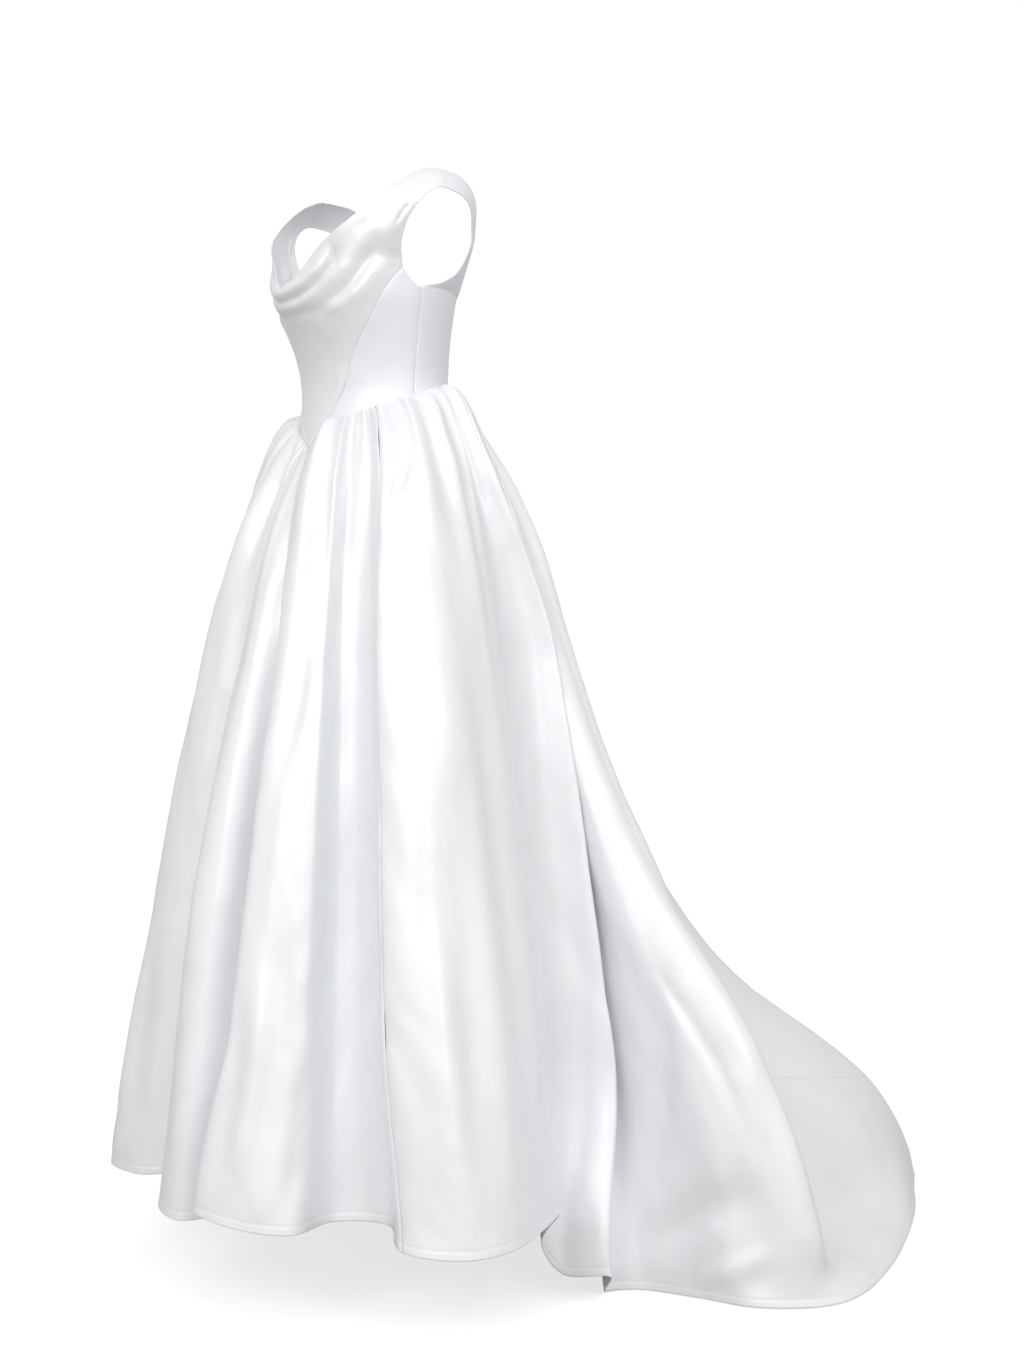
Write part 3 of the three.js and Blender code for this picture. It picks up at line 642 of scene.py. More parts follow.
def shell_mesh(name, vertices, facing, flat, quads):
    """A closed shell with a rounded rim. Its UV map is the cloth's flat cut, in metres."""
    count = len(vertices)
    edges = rim_edges(quads)
    along = np.zeros((count, 3))
    for end in (0, 1):
        np.add.at(along, edges[:, end], vertices[edges[:, 1]] - vertices[edges[:, 0]])
    ring = np.unique(edges)
    rim_index = np.zeros(count, int)
    rim_index[ring] = 2 * count + np.arange(len(ring))
    outwards = unit(np.cross(along[ring], facing[ring]))
    rim = vertices[ring] - facing[ring] * CLOTH / 2 + outwards * CLOTH * RIM_BULGE
    solid = np.concatenate([vertices, vertices - facing * CLOTH, rim])
    solid[:, 2] -= HOLD_HEIGHT / MM
    start, end = edges.T
    faces = np.concatenate([
        quads,
        quads[:, ::-1] + count,
        np.stack([end, start, rim_index[start], rim_index[end]], axis=-1),
        np.stack([rim_index[end], rim_index[start], start + count, end + count], axis=-1),
    ])
    mesh = bpy.data.meshes.new(name)
    mesh.from_pydata((solid * MM).tolist(), [], faces.tolist())
    corner = np.zeros(len(mesh.loops), int)
    mesh.loops.foreach_get("vertex_index", corner)
    places = np.concatenate([flat, flat, flat[ring]]) * MM
    mesh.uv_layers.new(name="cut").data.foreach_set("uv", places[corner].ravel())
    mesh.polygons.foreach_set("use_smooth", np.ones(len(mesh.polygons), bool))
    triangles[name] = 2 * len(faces)
    return mesh


def cloth_piece(name, grids, material, nodes, sewn, joined_from=0):
    """Turns grids of outer points, in millimetres above the floor, into one closed shell of satin."""
    grids = [grid + normals(grid) * dip_edges(grid, sides)[..., None] for grid, sides in zip(grids, sewn)]
    vertices, facing, flat, quads = outer_face(grids, joined_from)
    mesh = shell_mesh(name, vertices, facing, flat, quads)
    mesh.materials.append(material)
    piece = bpy.data.objects.new(name, mesh)
    bpy.context.scene.collection.objects.link(piece)
    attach(piece, "root")
    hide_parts(*nodes)
    width, length = np.ptp(flat, axis=0) * MM
    area = sum(flat_area(grid) for grid in grids) * MM**2
    area = min(max(area, LEAST_SHARE * width * length), width * length)
    print(f"{name}: {triangles[name]} triangles, cut {width:.2f} by {length:.2f} m, {area:.3f} square m")


print("the wall of a shell is", CLOTH, "mm")

# %% [markdown]
# ## Shader maths as plain expressions
# A material in Blender is a graph of nodes. Wiring it by hand is slow to read, so one small class wraps
# a socket: adding or multiplying two of them adds the Math node that does it. Any other node comes from
# one method that takes its type, its settings and the values or links of its inputs.

# %% Wrap sockets and nodes
class Graph:
    """A node tree that is built from Python expressions."""

    def __init__(self, tree):
        self.tree = tree

    def plug(self, place, value):
        if isinstance(value, Socket):
            self.tree.links.new(value.socket, place)
        else:
            place.default_value = value

    def add(self, kind, settings=None, inputs=None, output=0):
        """A new node with its settings and inputs, as the socket that it gives."""
        node = self.tree.nodes.new(kind)
        for name, value in (settings or {}).items():
            setattr(node, name, value)
        for name, value in (inputs or {}).items():
            self.plug(node.inputs[name], value)
        return Socket(self, node.outputs[output]) if node.outputs else node


class Socket:
    """An output socket that can be used in Python sums."""

    def __init__(self, graph, socket):
        self.graph = graph
        self.socket = socket

    def __getitem__(self, name):
        """Another output of the same node."""
        return Socket(self.graph, self.socket.node.outputs[name])

    def maths(self, operation, *values):
        return self.graph.add("ShaderNodeMath", {"operation": operation}, dict(enumerate(values)))

    def __add__(self, other):
        return self.maths("ADD", self, other)

    def __radd__(self, other):
        return self.maths("ADD", other, self)

    def __sub__(self, other):
        return self.maths("SUBTRACT", self, other)

    def __rsub__(self, other):
        return self.maths("SUBTRACT", other, self)

    def __mul__(self, other):
        return self.maths("MULTIPLY", self, other)

    def __rmul__(self, other):
        return self.maths("MULTIPLY", other, self)

    def clamped(self):
        return self.maths("MAXIMUM", self.maths("MINIMUM", self, 1.0), 0.0)

    def wave(self):
        return self.maths("SINE", self)


sums = [name for name in vars(Socket) if name in dir(float) and name not in dir(object)]
print("sums that a socket knows:", sums)

# %% [markdown]
# ## Satin
# Satin is woven so that long threads float on its face. That gives a smooth white with broad, soft
# highlights, faint lines along the thread, and a sheen at grazing angles. The colour hardly changes:
# what the eye reads is gloss. So roughness varies with the threads and in clouds a few centimetres wide,
# and two low bumps break the highlights up: one for the weave, one for cloth that has been handled. A
# photograph of satin could be wrapped on instead, but noise has no edges and never repeats.

# %% Make the satin materials
THREAD_PITCH = 0.0009
PICK_PITCH = 0.0036
CLOUD_SCALE = 14.0
HANDLED_SCALE = 32.0
SLUBS_ACROSS = 900.0
SLUBS_ALONG = 22.0
MIX_FIRST = 6  # the two colours of a Mix node share their names with its numbers and vectors
MIX_SECOND = 7
MIX_COLOUR = 2


def satin(name, bright, dim, roughness):
    """Satin between two whites, with its threads along the cloth's own cut."""
    material = bpy.data.materials.new(name)
    material.use_nodes = True
    graph = Graph(material.node_tree)
    graph.tree.nodes.clear()
    cut = graph.add("ShaderNodeUVMap", {"uv_map": "cut"})
    flat = graph.add("ShaderNodeSeparateXYZ", None, {"Vector": cut})
    across, along = flat["X"], flat["Y"]
    place = graph.add("ShaderNodeTexCoord", output="Object")

    def noise(vector, scale, detail):
        return graph.add("ShaderNodeTexNoise", None, {"Vector": vector, "Scale": scale, "Detail": detail})
    clouds = noise(place, CLOUD_SCALE, 3.0)
    handled = noise(place, HANDLED_SCALE, 1.5)
    long_threads = {"X": across * SLUBS_ACROSS, "Y": along * SLUBS_ALONG}
    slubs = noise(graph.add("ShaderNodeCombineXYZ", None, long_threads), 1.0, 2.0)
    threads = (across * (math.tau / THREAD_PITCH)).wave() * 0.5 + 0.5
    picks = (along * (math.tau / PICK_PITCH)).wave() * 0.5 + 0.5
    tone = (clouds * 0.7 + slubs * 0.3).clamped()
    whites = {"Factor": tone, MIX_FIRST: (*dim, 1), MIX_SECOND: (*bright, 1)}
    colour = graph.add("ShaderNodeMix", {"data_type": "RGBA"}, whites, MIX_COLOUR)
    gloss = (clouds - 0.5) * 0.12 + (slubs - 0.5) * 0.08 + roughness
    weave = graph.add("ShaderNodeBump", None, {
        "Strength": 0.16, "Distance": 0.0002, "Height": threads * 0.35 + picks * 0.15 + slubs * 1.2,
    })
    crumple = graph.add("ShaderNodeBump", None, {
        "Strength": 0.3, "Distance": 0.002, "Height": handled, "Normal": weave,
    })
    shader = graph.add("ShaderNodeBsdfPrincipled", None, {
        "Base Color": colour, "Roughness": gloss.clamped(), "Normal": crumple,
        "Metallic": 0.22, "Sheen Weight": 0.1, "Sheen Roughness": 0.4, "Specular IOR Level": 0.7,
    })
    graph.add("ShaderNodeOutputMaterial", None, {"Surface": shader})
    return material


satin_main = satin("satin", (0.88, 0.885, 0.895), (0.84, 0.85, 0.865), 0.4)
satin_side = satin("satin_side", (0.88, 0.885, 0.91), (0.85, 0.855, 0.885), 0.48)
print("materials:", satin_main.name, satin_side.name)

# %% [markdown]
# ## Stitches that follow a line
# A machine stitch is a short thread that dips in at both ends, every three millimetres or so. Hundreds
# of them follow the hem, so Geometry Nodes do the work: the line is resampled at the stitch's pitch, a
# small rounded thread is set on each point along the line's direction, and the result is made real. One
# tree serves the fine hem and the longer stitches across the train, by its inputs alone.

# %% Make a tree for stitches
FINE_STITCH = {"Pitch": 0.0032, "Length": 0.0026, "Thickness": 0.0006}
LONG_STITCH = {"Pitch": 0.0058, "Length": 0.0046, "Thickness": 0.0011}


def stitch_tree():
    """A tree that sews threads of a given size along a curve."""
    tree = bpy.data.node_groups.new("stitches", "GeometryNodeTree")
    sockets = tree.interface
    sockets.new_socket("Line", in_out="INPUT", socket_type="NodeSocketGeometry")
    for name, size in FINE_STITCH.items():
        sockets.new_socket(name, in_out="INPUT", socket_type="NodeSocketFloat").default_value = size
    sockets.new_socket("Thread", in_out="INPUT", socket_type="NodeSocketMaterial")
    sockets.new_socket("Stitches", in_out="OUTPUT", socket_type="NodeSocketGeometry")
    graph = Graph(tree)
    given = graph.add("NodeGroupInput")
    points = graph.add("GeometryNodeResampleCurve", {"mode": "LENGTH"}, {
        "Curve": given["Line"], "Length": given["Pitch"],
    })
    thread = graph.add("GeometryNodeMeshIcoSphere", None, {"Radius": 0.5, "Subdivisions": 1})
    size = graph.add("ShaderNodeCombineXYZ", None, {
        "X": given["Length"], "Y": given["Thickness"], "Z": given["Thickness"],
    })
    tangent = graph.add("GeometryNodeInputTangent")
    turn = graph.add("FunctionNodeAlignRotationToVector", {"axis": "X"}, {"Vector": tangent})
    placed = graph.add("GeometryNodeInstanceOnPoints", None, {
        "Points": points, "Instance": thread, "Rotation": turn, "Scale": size,
    })
    real = graph.add("GeometryNodeRealizeInstances", None, {"Geometry": placed})
    finished = graph.add("GeometryNodeSetMaterial", None, {"Geometry": real, "Material": given["Thread"]})
    graph.add("NodeGroupOutput", None, {"Stitches": finished})
    return tree


def stitches(name, lines, material, sizes):
    """A plain mesh of stitches along lines of points, in millimetres above the floor."""
    path = bpy.data.curves.new(name + "_line", "CURVE")
    path.dimensions = "3D"
    for line in lines:
        spline = path.splines.new("POLY")
        spline.points.add(len(line) - 1)
        places = np.concatenate([line * MM - [0, 0, HOLD_HEIGHT], np.ones((len(line), 1))], axis=1)
        spline.points.foreach_set("co", places.ravel())
    carrier = bpy.data.objects.new(name + "_line", path)
    bpy.context.scene.collection.objects.link(carrier)
    modifier = carrier.modifiers.new("stitches", "NODES")
    modifier.node_group = STITCH_TREE
    wanted = {"Thread": material, **sizes}
    for item in STITCH_TREE.interface.items_tree:
        if item.in_out == "INPUT" and item.name in wanted:
            modifier[item.identifier] = wanted[item.name]
    evaluated = carrier.evaluated_get(bpy.context.evaluated_depsgraph_get())
    mesh = bpy.data.meshes.new_from_object(evaluated)
    mesh.name = name
    bpy.data.objects.remove(carrier)
    piece = bpy.data.objects.new(name, mesh)
    bpy.context.scene.collection.objects.link(piece)
    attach(piece, "root")
    triangles[name] = len(mesh.polygons)
    print(f"{name}: {triangles[name]} triangles")


STITCH_TREE = stitch_tree()
print("inputs for stitches:", [item.name for item in STITCH_TREE.interface.items_tree])

# %% [markdown]
# ## The front with its cowl
# The centre front is one piece: both straps, the draped cowl and the long panel down to the waist point.
# The cowl is cut wide, so its cloth hangs in swags from shoulder to shoulder. Here the swags are rings
# of rise and hollow that follow the neck edge, with a few slanting drag lines below them. Sculpting
# would give the same, but lines in a table can be moved one by one when they are held against a photo.

# %% Drag lines of the cowl
COWL = [
    # width, height, start fade, end fade, then the path from the shoulder to centre front
    (10, 6.5, 0.3, 0, [
        (92, -119, 1437), (84, -121, 1420), (70, -127, 1402), (47, -136, 1384), (21, -140, 1377),
        (0, -142, 1375),
    ]),
    (6, -5, 0.2, 0, [
        (97, -112, 1437), (93, -112, 1410), (73, -122, 1387), (59, -127, 1377), (27, -135, 1367),
        (0, -139, 1364),
    ]),
    (13, 3.8, 0.3, 0, [
        (141, -75, 1444), (112, -97, 1415), (88, -114, 1388), (69, -122, 1371), (32, -132, 1358),
        (0, -137, 1354),
    ]),
    (8, -4.5, 0.3, 0.3, [
        (143, -66, 1440), (127, -79, 1408), (110, -94, 1380), (89, -107, 1362), (62, -118, 1350),
    ]),
    (15, 4, 0.3, 0.3, [
        (150, -52, 1428), (134, -68, 1396), (118, -83, 1371), (95, -99, 1352), (60, -115, 1338),
    ]),
    (8, -2.2, 0.3, 0, [(84, -109, 1356), (60, -119, 1347), (18, -129, 1345), (0, -131, 1346)]),
    (22, 2.5, 0.4, 0.4, [(128, -70, 1350), (104, -90, 1330), (70, -107, 1318), (30, -118, 1316)]),
    (9, 2.6, 0.3, 0.5, [
        (182, -32, 1500), (165, -49, 1466), (152, -58, 1442), (147, -53, 1417), (143, -52, 1392),
    ]),
    (4, -2.4, 0.3, 0.4, [(177, -37, 1488), (168, -46, 1470), (158, -53, 1452)]),
    (14, -2.5, 0.3, 0.4, [(165, -48, 1508), (146, -75, 1469), (124, -96, 1449), (104, -108, 1436)]),
    (12, -1.6, 0.4, 0.4, [(120, -74, 1320), (96, -86, 1290), (74, -90, 1262), (56, -92, 1236)]),
    (16, 1.4, 0.4, 0.4, [(96, -100, 1330), (78, -98, 1290), (60, -96, 1250), (40, -96, 1215)]),
]
print("swags and drag lines of the cowl:", len(COWL))

# %% Front panel
TOP_GAP = 0.006
FRONT_ACROSS = np.linspace(0, 1, 90)
FRONT_DOWN = np.linspace(TOP_GAP, LAST_FRONT, 260)
CENTRE_DROOP = {"drop": 14, "back": 4.2, "depth": 38, "width": 92}
FRONT_BUCKLES = ((34, 48, 0.6), (15, 21, 0.3))
CENTRE_FADE = (4, 60)
FAR_STRAP = {"from": 1425, "to": 1475, "wider": 1.015, "forward": 3}
FAR_STRENGTH = 0.85
EVENING_PASSES = 30


def mirrored(grid):
    """The wearer's right half. Its shoulder sits a little wider and further forward."""
    high = smooth(grid[..., 2], FAR_STRAP["from"], FAR_STRAP["to"])
    wider = mix(1, FAR_STRAP["wider"], high)
    flipped = point(-grid[..., 0] * wider, grid[..., 1] - FAR_STRAP["forward"] * high, grid[..., 2])
    return flipped[:, ::-1]


def front_half(strength, seed):
    """The wearer's left half of the front. Strength is the share of their height that creases keep."""
    grid = relaxed(on_front(FRONT_ACROSS, FRONT_DOWN), EVENING_PASSES)
    below = np.full(grid.shape[:2], np.inf)
    for edge in NECK_EDGE:
        below = np.minimum(below, np.linalg.norm(grid - edge, axis=-1))
    droop = np.exp(-((below / CENTRE_DROOP["depth"]) ** 2))
    droop = droop * (1 - smooth(grid[..., 0], 0, CENTRE_DROOP["width"]))
    grid = grid + point(0, -CENTRE_DROOP["back"] * droop, -CENTRE_DROOP["drop"] * droop)
    rise = sum(crease(grid, path, width, height, start, end) for width, height, start, end, path in COWL)
    along, fallen = lengths(grid)
    buckles = sum(
        height * soft_noise(along / wide, fallen / long, seed + k)
        for k, (wide, long, height) in enumerate(FRONT_BUCKLES)
    )
    off_centre = smooth(grid[..., 0], *CENTRE_FADE)
    rise = rise * mix(1, strength, off_centre) + buckles * off_centre
    grid = grid + normals(grid) * rise[..., None]
    grid[FRONT_DOWN >= STRAPS_IN_FRONT - 0.02, 0, 0] = 0
    return grid


cloth_piece(
    "satin_front_panel", [mirrored(front_half(FAR_STRENGTH, 7)), front_half(1, 3)], satin_main,
    ["front_panel"], [["start"], ["end"]],
    joined_from=int(np.searchsorted(FRONT_DOWN, STRAPS_IN_FRONT)),
)

# %% [markdown]
# ## Side fronts and backs
# The smaller panels fill the form from the underarm to the waist seam and from the side to the centre
# back. They are stretched over the body, so they show little more than soft buckles. A side front takes
# its edges from its neighbours and its middle from the body form, so no gap can open at a seam.

# %% Side and back panels
SIDE_COLUMNS = 46
SIDE_ROWS = 110
BACK_COLUMNS = 60
BACK_ROWS = 150
CENTRE_GAP = 0.2
BUCKLE_DEPTH = 0.5
TOP_FADE = (0, 0.3)
LOW_FADE = (0.5, 1)


def side_half():
    """The wearer's left side front, from the curved seam to the side back seam."""
    across = np.linspace(0, 1, SIDE_COLUMNS)
    down = np.linspace(0, 1, SIDE_ROWS)[:, None]
    one = np.ones(1)
    turn = SEAM_TURN * (1 + down)
    front_edge = turned(on_front(one, mix(STRAPS_IN_FRONT, LAST_FRONT, down[:, 0])), turn)
    back_edge = turned(on_back(one, mix(STRAPS_BEHIND, LAST_BACK, down[:, 0])), -turn)
    front_z, back_z = front_edge[..., 2], back_edge[..., 2]
    top_angle = mix(princess_angle(SIDE_TOP), SIDE_BACK_SEAM, across)
    top = read(UNDERARM, "angle", top_angle, "height") - mix(SIDE_TOP, BACK_LEVELS["outer"][0], across)
    low_angle = mix(princess_angle(SIDE_LOW), SIDE_BACK_SEAM, across)
    low = waist_height(low_angle) - mix(SIDE_LOW, waist_height(SIDE_BACK_SEAM), across)
    level = mix(front_z, back_z, across)
    level = level + top * (1 - smooth(down, *TOP_FADE)) + low * smooth(down, *LOW_FADE)
    grid = body(mix(princess_angle(front_z), SIDE_BACK_SEAM, across), level)
    to_front = front_edge - body(princess_angle(front_z), front_z)
    to_back = back_edge - body(SIDE_BACK_SEAM, back_z)
    return grid + to_front * ((1 - across) ** 2)[:, None] + to_back * (across**2)[:, None]


def back_half():
    """The wearer's left back with its strap, from the side back seam to the centre back."""
    across = np.linspace(1, 0, BACK_COLUMNS)
    grid = on_back(across, np.linspace(TOP_GAP, LAST_BACK, BACK_ROWS))
    grid[..., 0] = np.maximum(grid[..., 0], CENTRE_GAP)
    return relaxed(grid, EVENING_PASSES)


def buckled(grid, seed):
    """The same panel with shallow buckles."""
    along, down = lengths(grid)
    return grid + normals(grid) * (BUCKLE_DEPTH * soft_noise(along / 30, down / 48, seed))[..., None]


for side, seed in (("left", 11), ("right", 12)):
    for part, half, own_seed in (("side_front", side_half(), seed), ("back", back_half(), seed + 2)):
        grid = half if side == "left" else mirrored(half)
        cloth_piece(
            f"satin_{part}_{side}", [buckled(grid, own_seed)], satin_side,
            [f"{part}_{side}"], [["start", "end", "low"]],
        )

# %% [markdown]
# ## The strip behind the closing
# The back closes down its centre. A plain strip of the same satin lies behind it, from the neck edge to
# the waist. It is the backs' own form moved inwards, so that it follows both of them.

# %% Strip behind the closing
STRIP_REACH = 0.111
STRIP_INSET = 2.1


def closing_strip():
    """One strip that lies behind the inner edges of both backs."""
    across = np.linspace(STRIP_REACH, 0, 9)
    half = on_back(across, np.linspace(STRAPS_BEHIND + 0.1, LAST_BACK - 0.03, 70))
    half[..., 0] = np.maximum(half[..., 0], 0)
    whole = np.concatenate([half, mirrored(half)[:, 1:]], axis=1)
    return whole - normals(whole) * STRIP_INSET


cloth_piece("satin_back_placket", [closing_strip()], satin_side, ["back_placket"], [[]])

# %% [markdown]
# ## The skirt
# Three great panels are gathered into the waist seam. The fold table gives their main form. On top of
# that come finer gathers just under the seam, long shallow waves that run down the cloth, and buckles
# that break up the highlights. All of them are worked out from where a point lies on the flat cloth.
# Displacement in the material would look alike in a render, but a maker's mesh needs real geometry.

# %% Creases of the skirt
SKIRT_CREASES = [
    # width, height, start fade, end fade, then the path: folds round and share of the way down
    (13, -5, 0.1, 0.5, [
        (28.6, 0.05), (28.8, 0.16), (28.6, 0.25), (28.4, 0.32), (28.2, 0.38), (27.8, 0.46), (27.6, 0.6),
    ]),
    (6, -4, 0.3, 0.5, [(28.1, 0.1), (28.1, 0.2), (27.8, 0.27)]),
    (7, -5, 0.3, 0.5, [(33.2, 0.11), (32.6, 0.145), (32.4, 0.17), (32.5, 0.23)]),
    (9, 3.5, 0.3, 0.5, [(33.5, 0.1), (33.0, 0.15), (32.9, 0.25)]),
    (8, -4, 0.2, 0.6, [(34.8, 0.03), (35.2, 0.1), (35.4, 0.16), (35.5, 0.3)]),
    (8, -4, 0.2, 0.6, [(34.0, 0.03), (34.3, 0.08), (34.3, 0.18)]),
    (7, -3.5, 0.2, 0.6, [(29.5, 0.03), (29.6, 0.1), (29.3, 0.2)]),
    (7, -3.5, 0.2, 0.6, [(26.6, 0.04), (26.8, 0.12), (26.9, 0.24)]),
    (9, -4, 0.3, 0.4, [(42.9, 0.64), (43.2, 0.7), (43.35, 0.76), (43.4, 0.84)]),
    (26, -9, 0.3, 0.5, [(43.0, 0.6), (42.9, 0.67), (42.2, 0.77), (41.7, 0.855), (41.1, 0.92)]),
    (22, 7, 0.3, 0.4, [(43.7, 0.5), (43.7, 0.63), (43.8, 0.75), (43.3, 0.86), (42.4, 0.92)]),
    (24, -9, 0.4, 0.5, [(43.5, 0.88), (42.4, 0.91), (41.6, 0.945), (41.1, 0.975)]),
    (16, 5, 0.4, 0.4, [(41.9, 0.985), (42.8, 0.965), (43.6, 0.94)]),
    (30, -9, 0.3, 0.4, [(33.7, 0.4), (33.6, 0.6), (33.5, 0.8), (33.4, 0.97)]),
    (26, -8, 0.3, 0.4, [(34.5, 0.3), (34.6, 0.5), (34.7, 0.75), (34.8, 0.97)]),
    (22, 7, 0.4, 0.3, [(32.9, 0.62), (33.0, 0.8), (33.1, 0.97)]),
    (24, -9, 0.4, 0.4, [(28.3, 0.62), (28.35, 0.8), (28.3, 0.97)]),
    (20, 6, 0.4, 0.3, [(27.9, 0.66), (27.95, 0.82), (27.85, 0.97)]),
    (20, -8, 0.4, 0.4, [(27.4, 0.7), (27.45, 0.85), (27.4, 0.98)]),
    (18, -6, 0.4, 0.3, [(29.0, 0.78), (29.05, 0.9), (29.0, 0.99)]),
    (20, 7, 0.4, 0.5, [(24.2, 0.3), (24.3, 0.6), (24.3, 0.9)]),
    (18, -5, 0.4, 0.3, [(38.4, 0.45), (38.3, 0.7), (38.2, 0.97)]),
]
FAR_CREASES = 0.8


def skirt_creases(start, end):
    """The creases that lie on a panel. Their copies on the other side are wider and less high."""
    creases = []
    for width, height, fade_in, fade_out, path in SKIRT_CREASES:
        for mirror in (False, True):
            turns = [FOLD_COUNT - a if mirror else a for a, _ in path]
            if min(turns) < start or max(turns) > end:
                continue
            share = FAR_CREASES if mirror else 1
            places = [skirt_point(a, d) for a, (_, d) in zip(turns, path)]
            creases.append((places, width / share, height * share, fade_in, fade_out))
    return creases


print("creases of the front panel:", len(skirt_creases(FAR_SEAM, NEAR_SEAM)))

# %% Cloth of a skirt panel
COLUMNS_PER_FOLD = 16
SKIRT_ROWS = np.concatenate([
    np.linspace(0, 0.04, 18), np.linspace(0.04, 0.2, 28)[1:],
    np.linspace(0.2, 0.93, 64)[1:], np.linspace(0.93, 0.985, 9)[1:], np.linspace(0.985, 1, 14)[1:],
])
SKIRT_SEAM = 0.35
FINE_GATHERS = 37
FINE_GATHER_DEPTH = 2.6
LONG_WAVES = {"per_fold": 1.9, "long": 330, "height": 2.6, "seed": 21}
SKIRT_BUCKLES = columns("wide long lean fall height seed", [
    (58, 140, 0, 0, 1.9, 22), (27, 66, 0.35, -0.3, 0.85, 23), (13, 32, -0.3, 0.3, 0.3, 24),
])
PULLED_HEIGHT = 1.5
PULLED_SEED = 25
PULLED = ((0.012, 0.05), (0.1, 0.42))
HEM_DEPTH = 11
HEM_STITCH = {"depth": 0.25, "width": 1.9}
HEM_DOUBLED = 0.12


def fine_gathers(turn, down):
    """Small pleats just under the seam, each of its own length."""
    pinch = np.abs(np.sin(FINE_GATHERS * turn + 1.1 * np.sin(7 * turn + 1) + 0.8 * np.sin(13 * turn)))
    reach = 0.05 + 0.03 * np.sin(19 * turn + 2) + 0.02 * np.sin(31 * turn)
    fade = (1 - smooth(down / reach, 0.2, 2)) * smooth(down, 0.0, 0.007)
    return FINE_GATHER_DEPTH * (pinch - 0.6) * fade


def skirt_buckles(along, fallen, around, down):
    """Long waves, buckles of three sizes, and streaks that are pulled down from the gathers."""
    wave = soft_noise(around * LONG_WAVES["per_fold"], fallen / LONG_WAVES["long"], LONG_WAVES["seed"])
    rise = wave * smooth(down, 0.05, 0.25) * LONG_WAVES["height"]
    for wide, long, lean, fall, height, seed in zip(*SKIRT_BUCKLES.values()):
        across, below = (along + fallen * lean) / wide, (fallen + along * fall) / long
        rise = rise + soft_noise(across, below, int(seed)) * height
    drift = around * 2.3 + 0.5 * np.sin(fallen / 130 + around)
    streaks = soft_noise(drift, fallen / 190 + 0.3 * around, PULLED_SEED) * PULLED_HEIGHT
    return rise + streaks * hump(down, *PULLED)


def turned_hem(above_hem):
    """The hem is doubled up to its line of stitches, which sinks in a little."""
    groove = np.exp(-(((above_hem - HEM_DEPTH) / HEM_STITCH["width"]) ** 2))
    return HEM_DOUBLED * (1 - smooth(above_hem, HEM_DEPTH - 3, HEM_DEPTH)) - HEM_STITCH["depth"] * groove


def skirt_grid(start, end):
    """A skirt panel between two folds, with all that unsettles its cloth."""
    around = np.linspace(start, end, (end - start) * COLUMNS_PER_FOLD + 1)
    down = SKIRT_ROWS[:, None]
    grid = skirt_point(around[None], down)
    first = grid[:, 1] - grid[:, 0]
    last = grid[:, -2] - grid[:, -1]
    grid[:, 0] += unit(first) * SKIRT_SEAM
    grid[:, -1] += unit(last) * SKIRT_SEAM
    turn = math.tau * around[None] / FOLD_COUNT
    rise = fine_gathers(turn, down) + sum(crease(grid, *line) for line in skirt_creases(start, end))
    along, fallen = lengths(grid)
    calm = smooth(down, 0.01, 0.08) * (1 - smooth(down, 0.97, 1) * 0.7)
    rise = rise + skirt_buckles(along, fallen, around[None], down) * calm + turned_hem(fallen[-1:] - fallen)
    return grid + normals(grid) * rise[..., None]


print("rows of a skirt panel:", len(SKIRT_ROWS))


# %% Lines for the stitches
TRAIN_SEAM = [
    (46.9, 0.776), (47.25, 0.804), (47.56, 0.823), (47.88, 0.845), (48.38, 0.868), (49, 0.885),
]


def inset_line(grid, inset, lift=0.15):
    """The line that lies a given way up from the hem, just proud of the cloth."""
    up = grid[::-1]
    run = np.concatenate([
        np.zeros((1, grid.shape[1])), np.cumsum(np.linalg.norm(np.diff(up, axis=0), axis=2), axis=0)
    ])
    row = np.argmax(run >= inset, axis=0)
    column = np.arange(grid.shape[1])
    share = (inset - run[row - 1, column]) / (run[row, column] - run[row - 1, column])
    line = mix(up[row - 1, column], up[row, column], share[:, None])
    return line + normals(grid)[-1] * lift


def on_panel(panel, start, path, lift=0.3):
    """A line that lies on a panel, through places given as folds round and share of the way down."""
    around, down = np.array(path, float).T
    fine = np.linspace(0, len(path) - 1, 400)
    column = (np.interp(fine, np.arange(len(path)), around) - start) * COLUMNS_PER_FOLD
    row = np.interp(np.interp(fine, np.arange(len(path)), down), SKIRT_ROWS, np.arange(len(SKIRT_ROWS)))
    i = np.minimum(row.astype(int), panel.shape[0] - 2)
    j = np.minimum(column.astype(int), panel.shape[1] - 2)
    u, v = (row - i)[:, None], (column - j)[:, None]
    place = mix(mix(panel[i, j], panel[i + 1, j], u), mix(panel[i, j + 1], panel[i + 1, j + 1], u), v)
    return place + normals(panel)[i, j] * lift


print("places on the train's seam:", len(TRAIN_SEAM))

# %% Sew the skirt
FAR_TRAIN_SEAM = [(FOLD_COUNT - turns, down) for turns, down in TRAIN_SEAM]
SKIRT_PANELS = [
    # name, first and last fold, and the stitched line that crosses it
    ("back_right", 0, FAR_SEAM, FAR_TRAIN_SEAM),
    ("front", FAR_SEAM, NEAR_SEAM, None),
    ("back_left", NEAR_SEAM, FOLD_COUNT, TRAIN_SEAM),
]
hems, train_seam = [], []
for name, start, end, seam in SKIRT_PANELS:
    panel = skirt_grid(start, end)
    hems.append(inset_line(panel, HEM_DEPTH))
    if seam:
        train_seam.append(on_panel(panel, start, seam))
    cloth_piece(
        f"satin_skirt_{name}", [panel], satin_main,
        [f"skirt_{name}"], [["start", "end", "top"]],
    )
stitches("hem_stitches", hems, satin_main, FINE_STITCH)
stitches("train_stitches", train_seam, satin_main, LONG_STITCH)

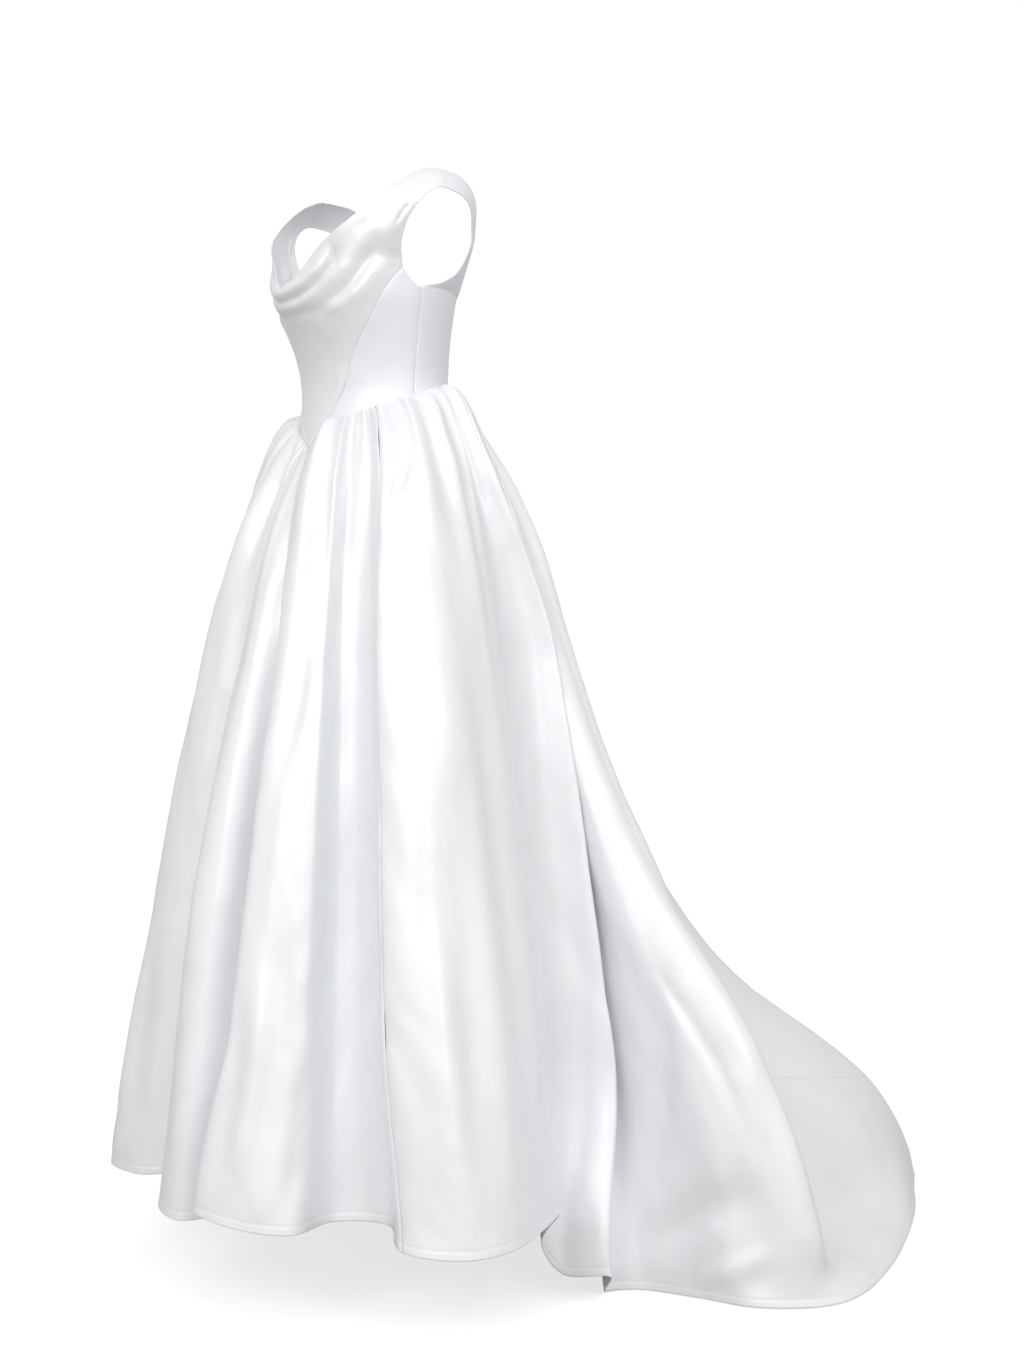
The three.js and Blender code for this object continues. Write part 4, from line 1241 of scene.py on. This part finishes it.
# %% [markdown]
# ## Floor and light
# A white dress on a white ground needs gentle light from one side, or it goes flat. One large soft
# lamp stands before the dress, a weaker one beside it on the camera's side, and a pale room, lighter on
# that side, lifts the shadows without taking them away. The floor lights itself for the camera alone,
# so that it looks white and still takes the dress's soft shadow, as on a photographer's paper.

# %% Floor
FLOOR_GAP = 0.0012
FLOOR_SIZE = 60
FLOOR_GREY = 0.45
FLOOR_GLOW = 0.72


def plain_floor():
    """A wide pale floor just under the dress."""
    material = bpy.data.materials.new("floor")
    material.use_nodes = True
    shader = material.node_tree.nodes["Principled BSDF"]
    shader.inputs["Base Color"].default_value = (FLOOR_GREY, FLOOR_GREY, FLOOR_GREY, 1)
    shader.inputs["Roughness"].default_value = 0.9
    reach = FLOOR_SIZE / 2
    low = cad_low[2] - FLOOR_GAP
    graph = Graph(material.node_tree)
    seen = graph.add("ShaderNodeLightPath", output="Is Camera Ray")
    graph.plug(shader.inputs["Emission Color"], seen * FLOOR_GLOW)
    shader.inputs["Emission Strength"].default_value = 1
    corners = [(-reach, -reach, low), (reach, -reach, low), (reach, reach, low), (-reach, reach, low)]
    mesh = bpy.data.meshes.new("floor")
    mesh.from_pydata(corners, [], [(0, 1, 2, 3)])
    mesh.materials.append(material)
    floor = bpy.data.objects.new("floor", mesh)
    bpy.context.scene.collection.objects.link(floor)
    print("floor at", round(low, 4), "m")


plain_floor()

# %% Lamps and room
LAMPS = [
    # name, place, what it points at, size in metres, power in watts
    ("key", (2.3, -3.2, 1.5), (0.1, 0, -0.5), 1.8, 44),
    ("side", (3.9, -0.3, 1.2), (0.1, 0.3, -0.7), 1.2, 22),
]
WINDOW_SIDE = (0.85, -0.4, 0.3)
ROOM_LIGHT = 0.79
ROOM_LEAN = 0.26
GROUND_LIGHT = 1.06
ROOM_TINT = (0.98, 0.99, 1, 1)


def soft_lamp(name, place, target, size, power):
    """A round soft lamp that points at a place."""
    data = bpy.data.lights.new(name, "AREA")
    data.shape = "DISK"
    data.size = size
    data.energy = power
    lamp = bpy.data.objects.new(name, data)
    lamp.location = place
    aim = np.array(target) - np.array(place)
    level = math.hypot(aim[0], aim[1])
    lamp.rotation_euler = (math.atan2(level, -aim[2]), 0, math.atan2(aim[1], aim[0]) - math.pi / 2)
    bpy.context.scene.collection.objects.link(lamp)


def studio_world():
    """A plain pale room, lighter on the window's side. The ground seen behind the dress is white."""
    world = bpy.data.worlds.new("studio")
    world.use_nodes = True
    graph = Graph(world.node_tree)
    background = world.node_tree.nodes["Background"]
    seen = graph.add("ShaderNodeLightPath", output="Is Camera Ray")
    direction = graph.add("ShaderNodeTexCoord", output="Generated")
    window = graph.add(
        "ShaderNodeVectorMath", {"operation": "DOT_PRODUCT"}, {0: direction, 1: WINDOW_SIDE}, "Value"
    )
    room = window * ROOM_LEAN + ROOM_LIGHT
    graph.plug(background.inputs["Strength"], room + seen * (GROUND_LIGHT - room))
    background.inputs["Color"].default_value = ROOM_TINT
    bpy.context.scene.world = world


for lamp in LAMPS:
    soft_lamp(*lamp)
studio_world()
bpy.context.scene.view_settings.view_transform = "Standard"
print("lamps:", [lamp[0] for lamp in LAMPS])

# %% [markdown]
# ## Finish
# Cloth may stand a little proud of the solids. The last cell counts the triangles of the finished dress.

# %% Count the triangles
print("triangles:", sum(triangles.values()))
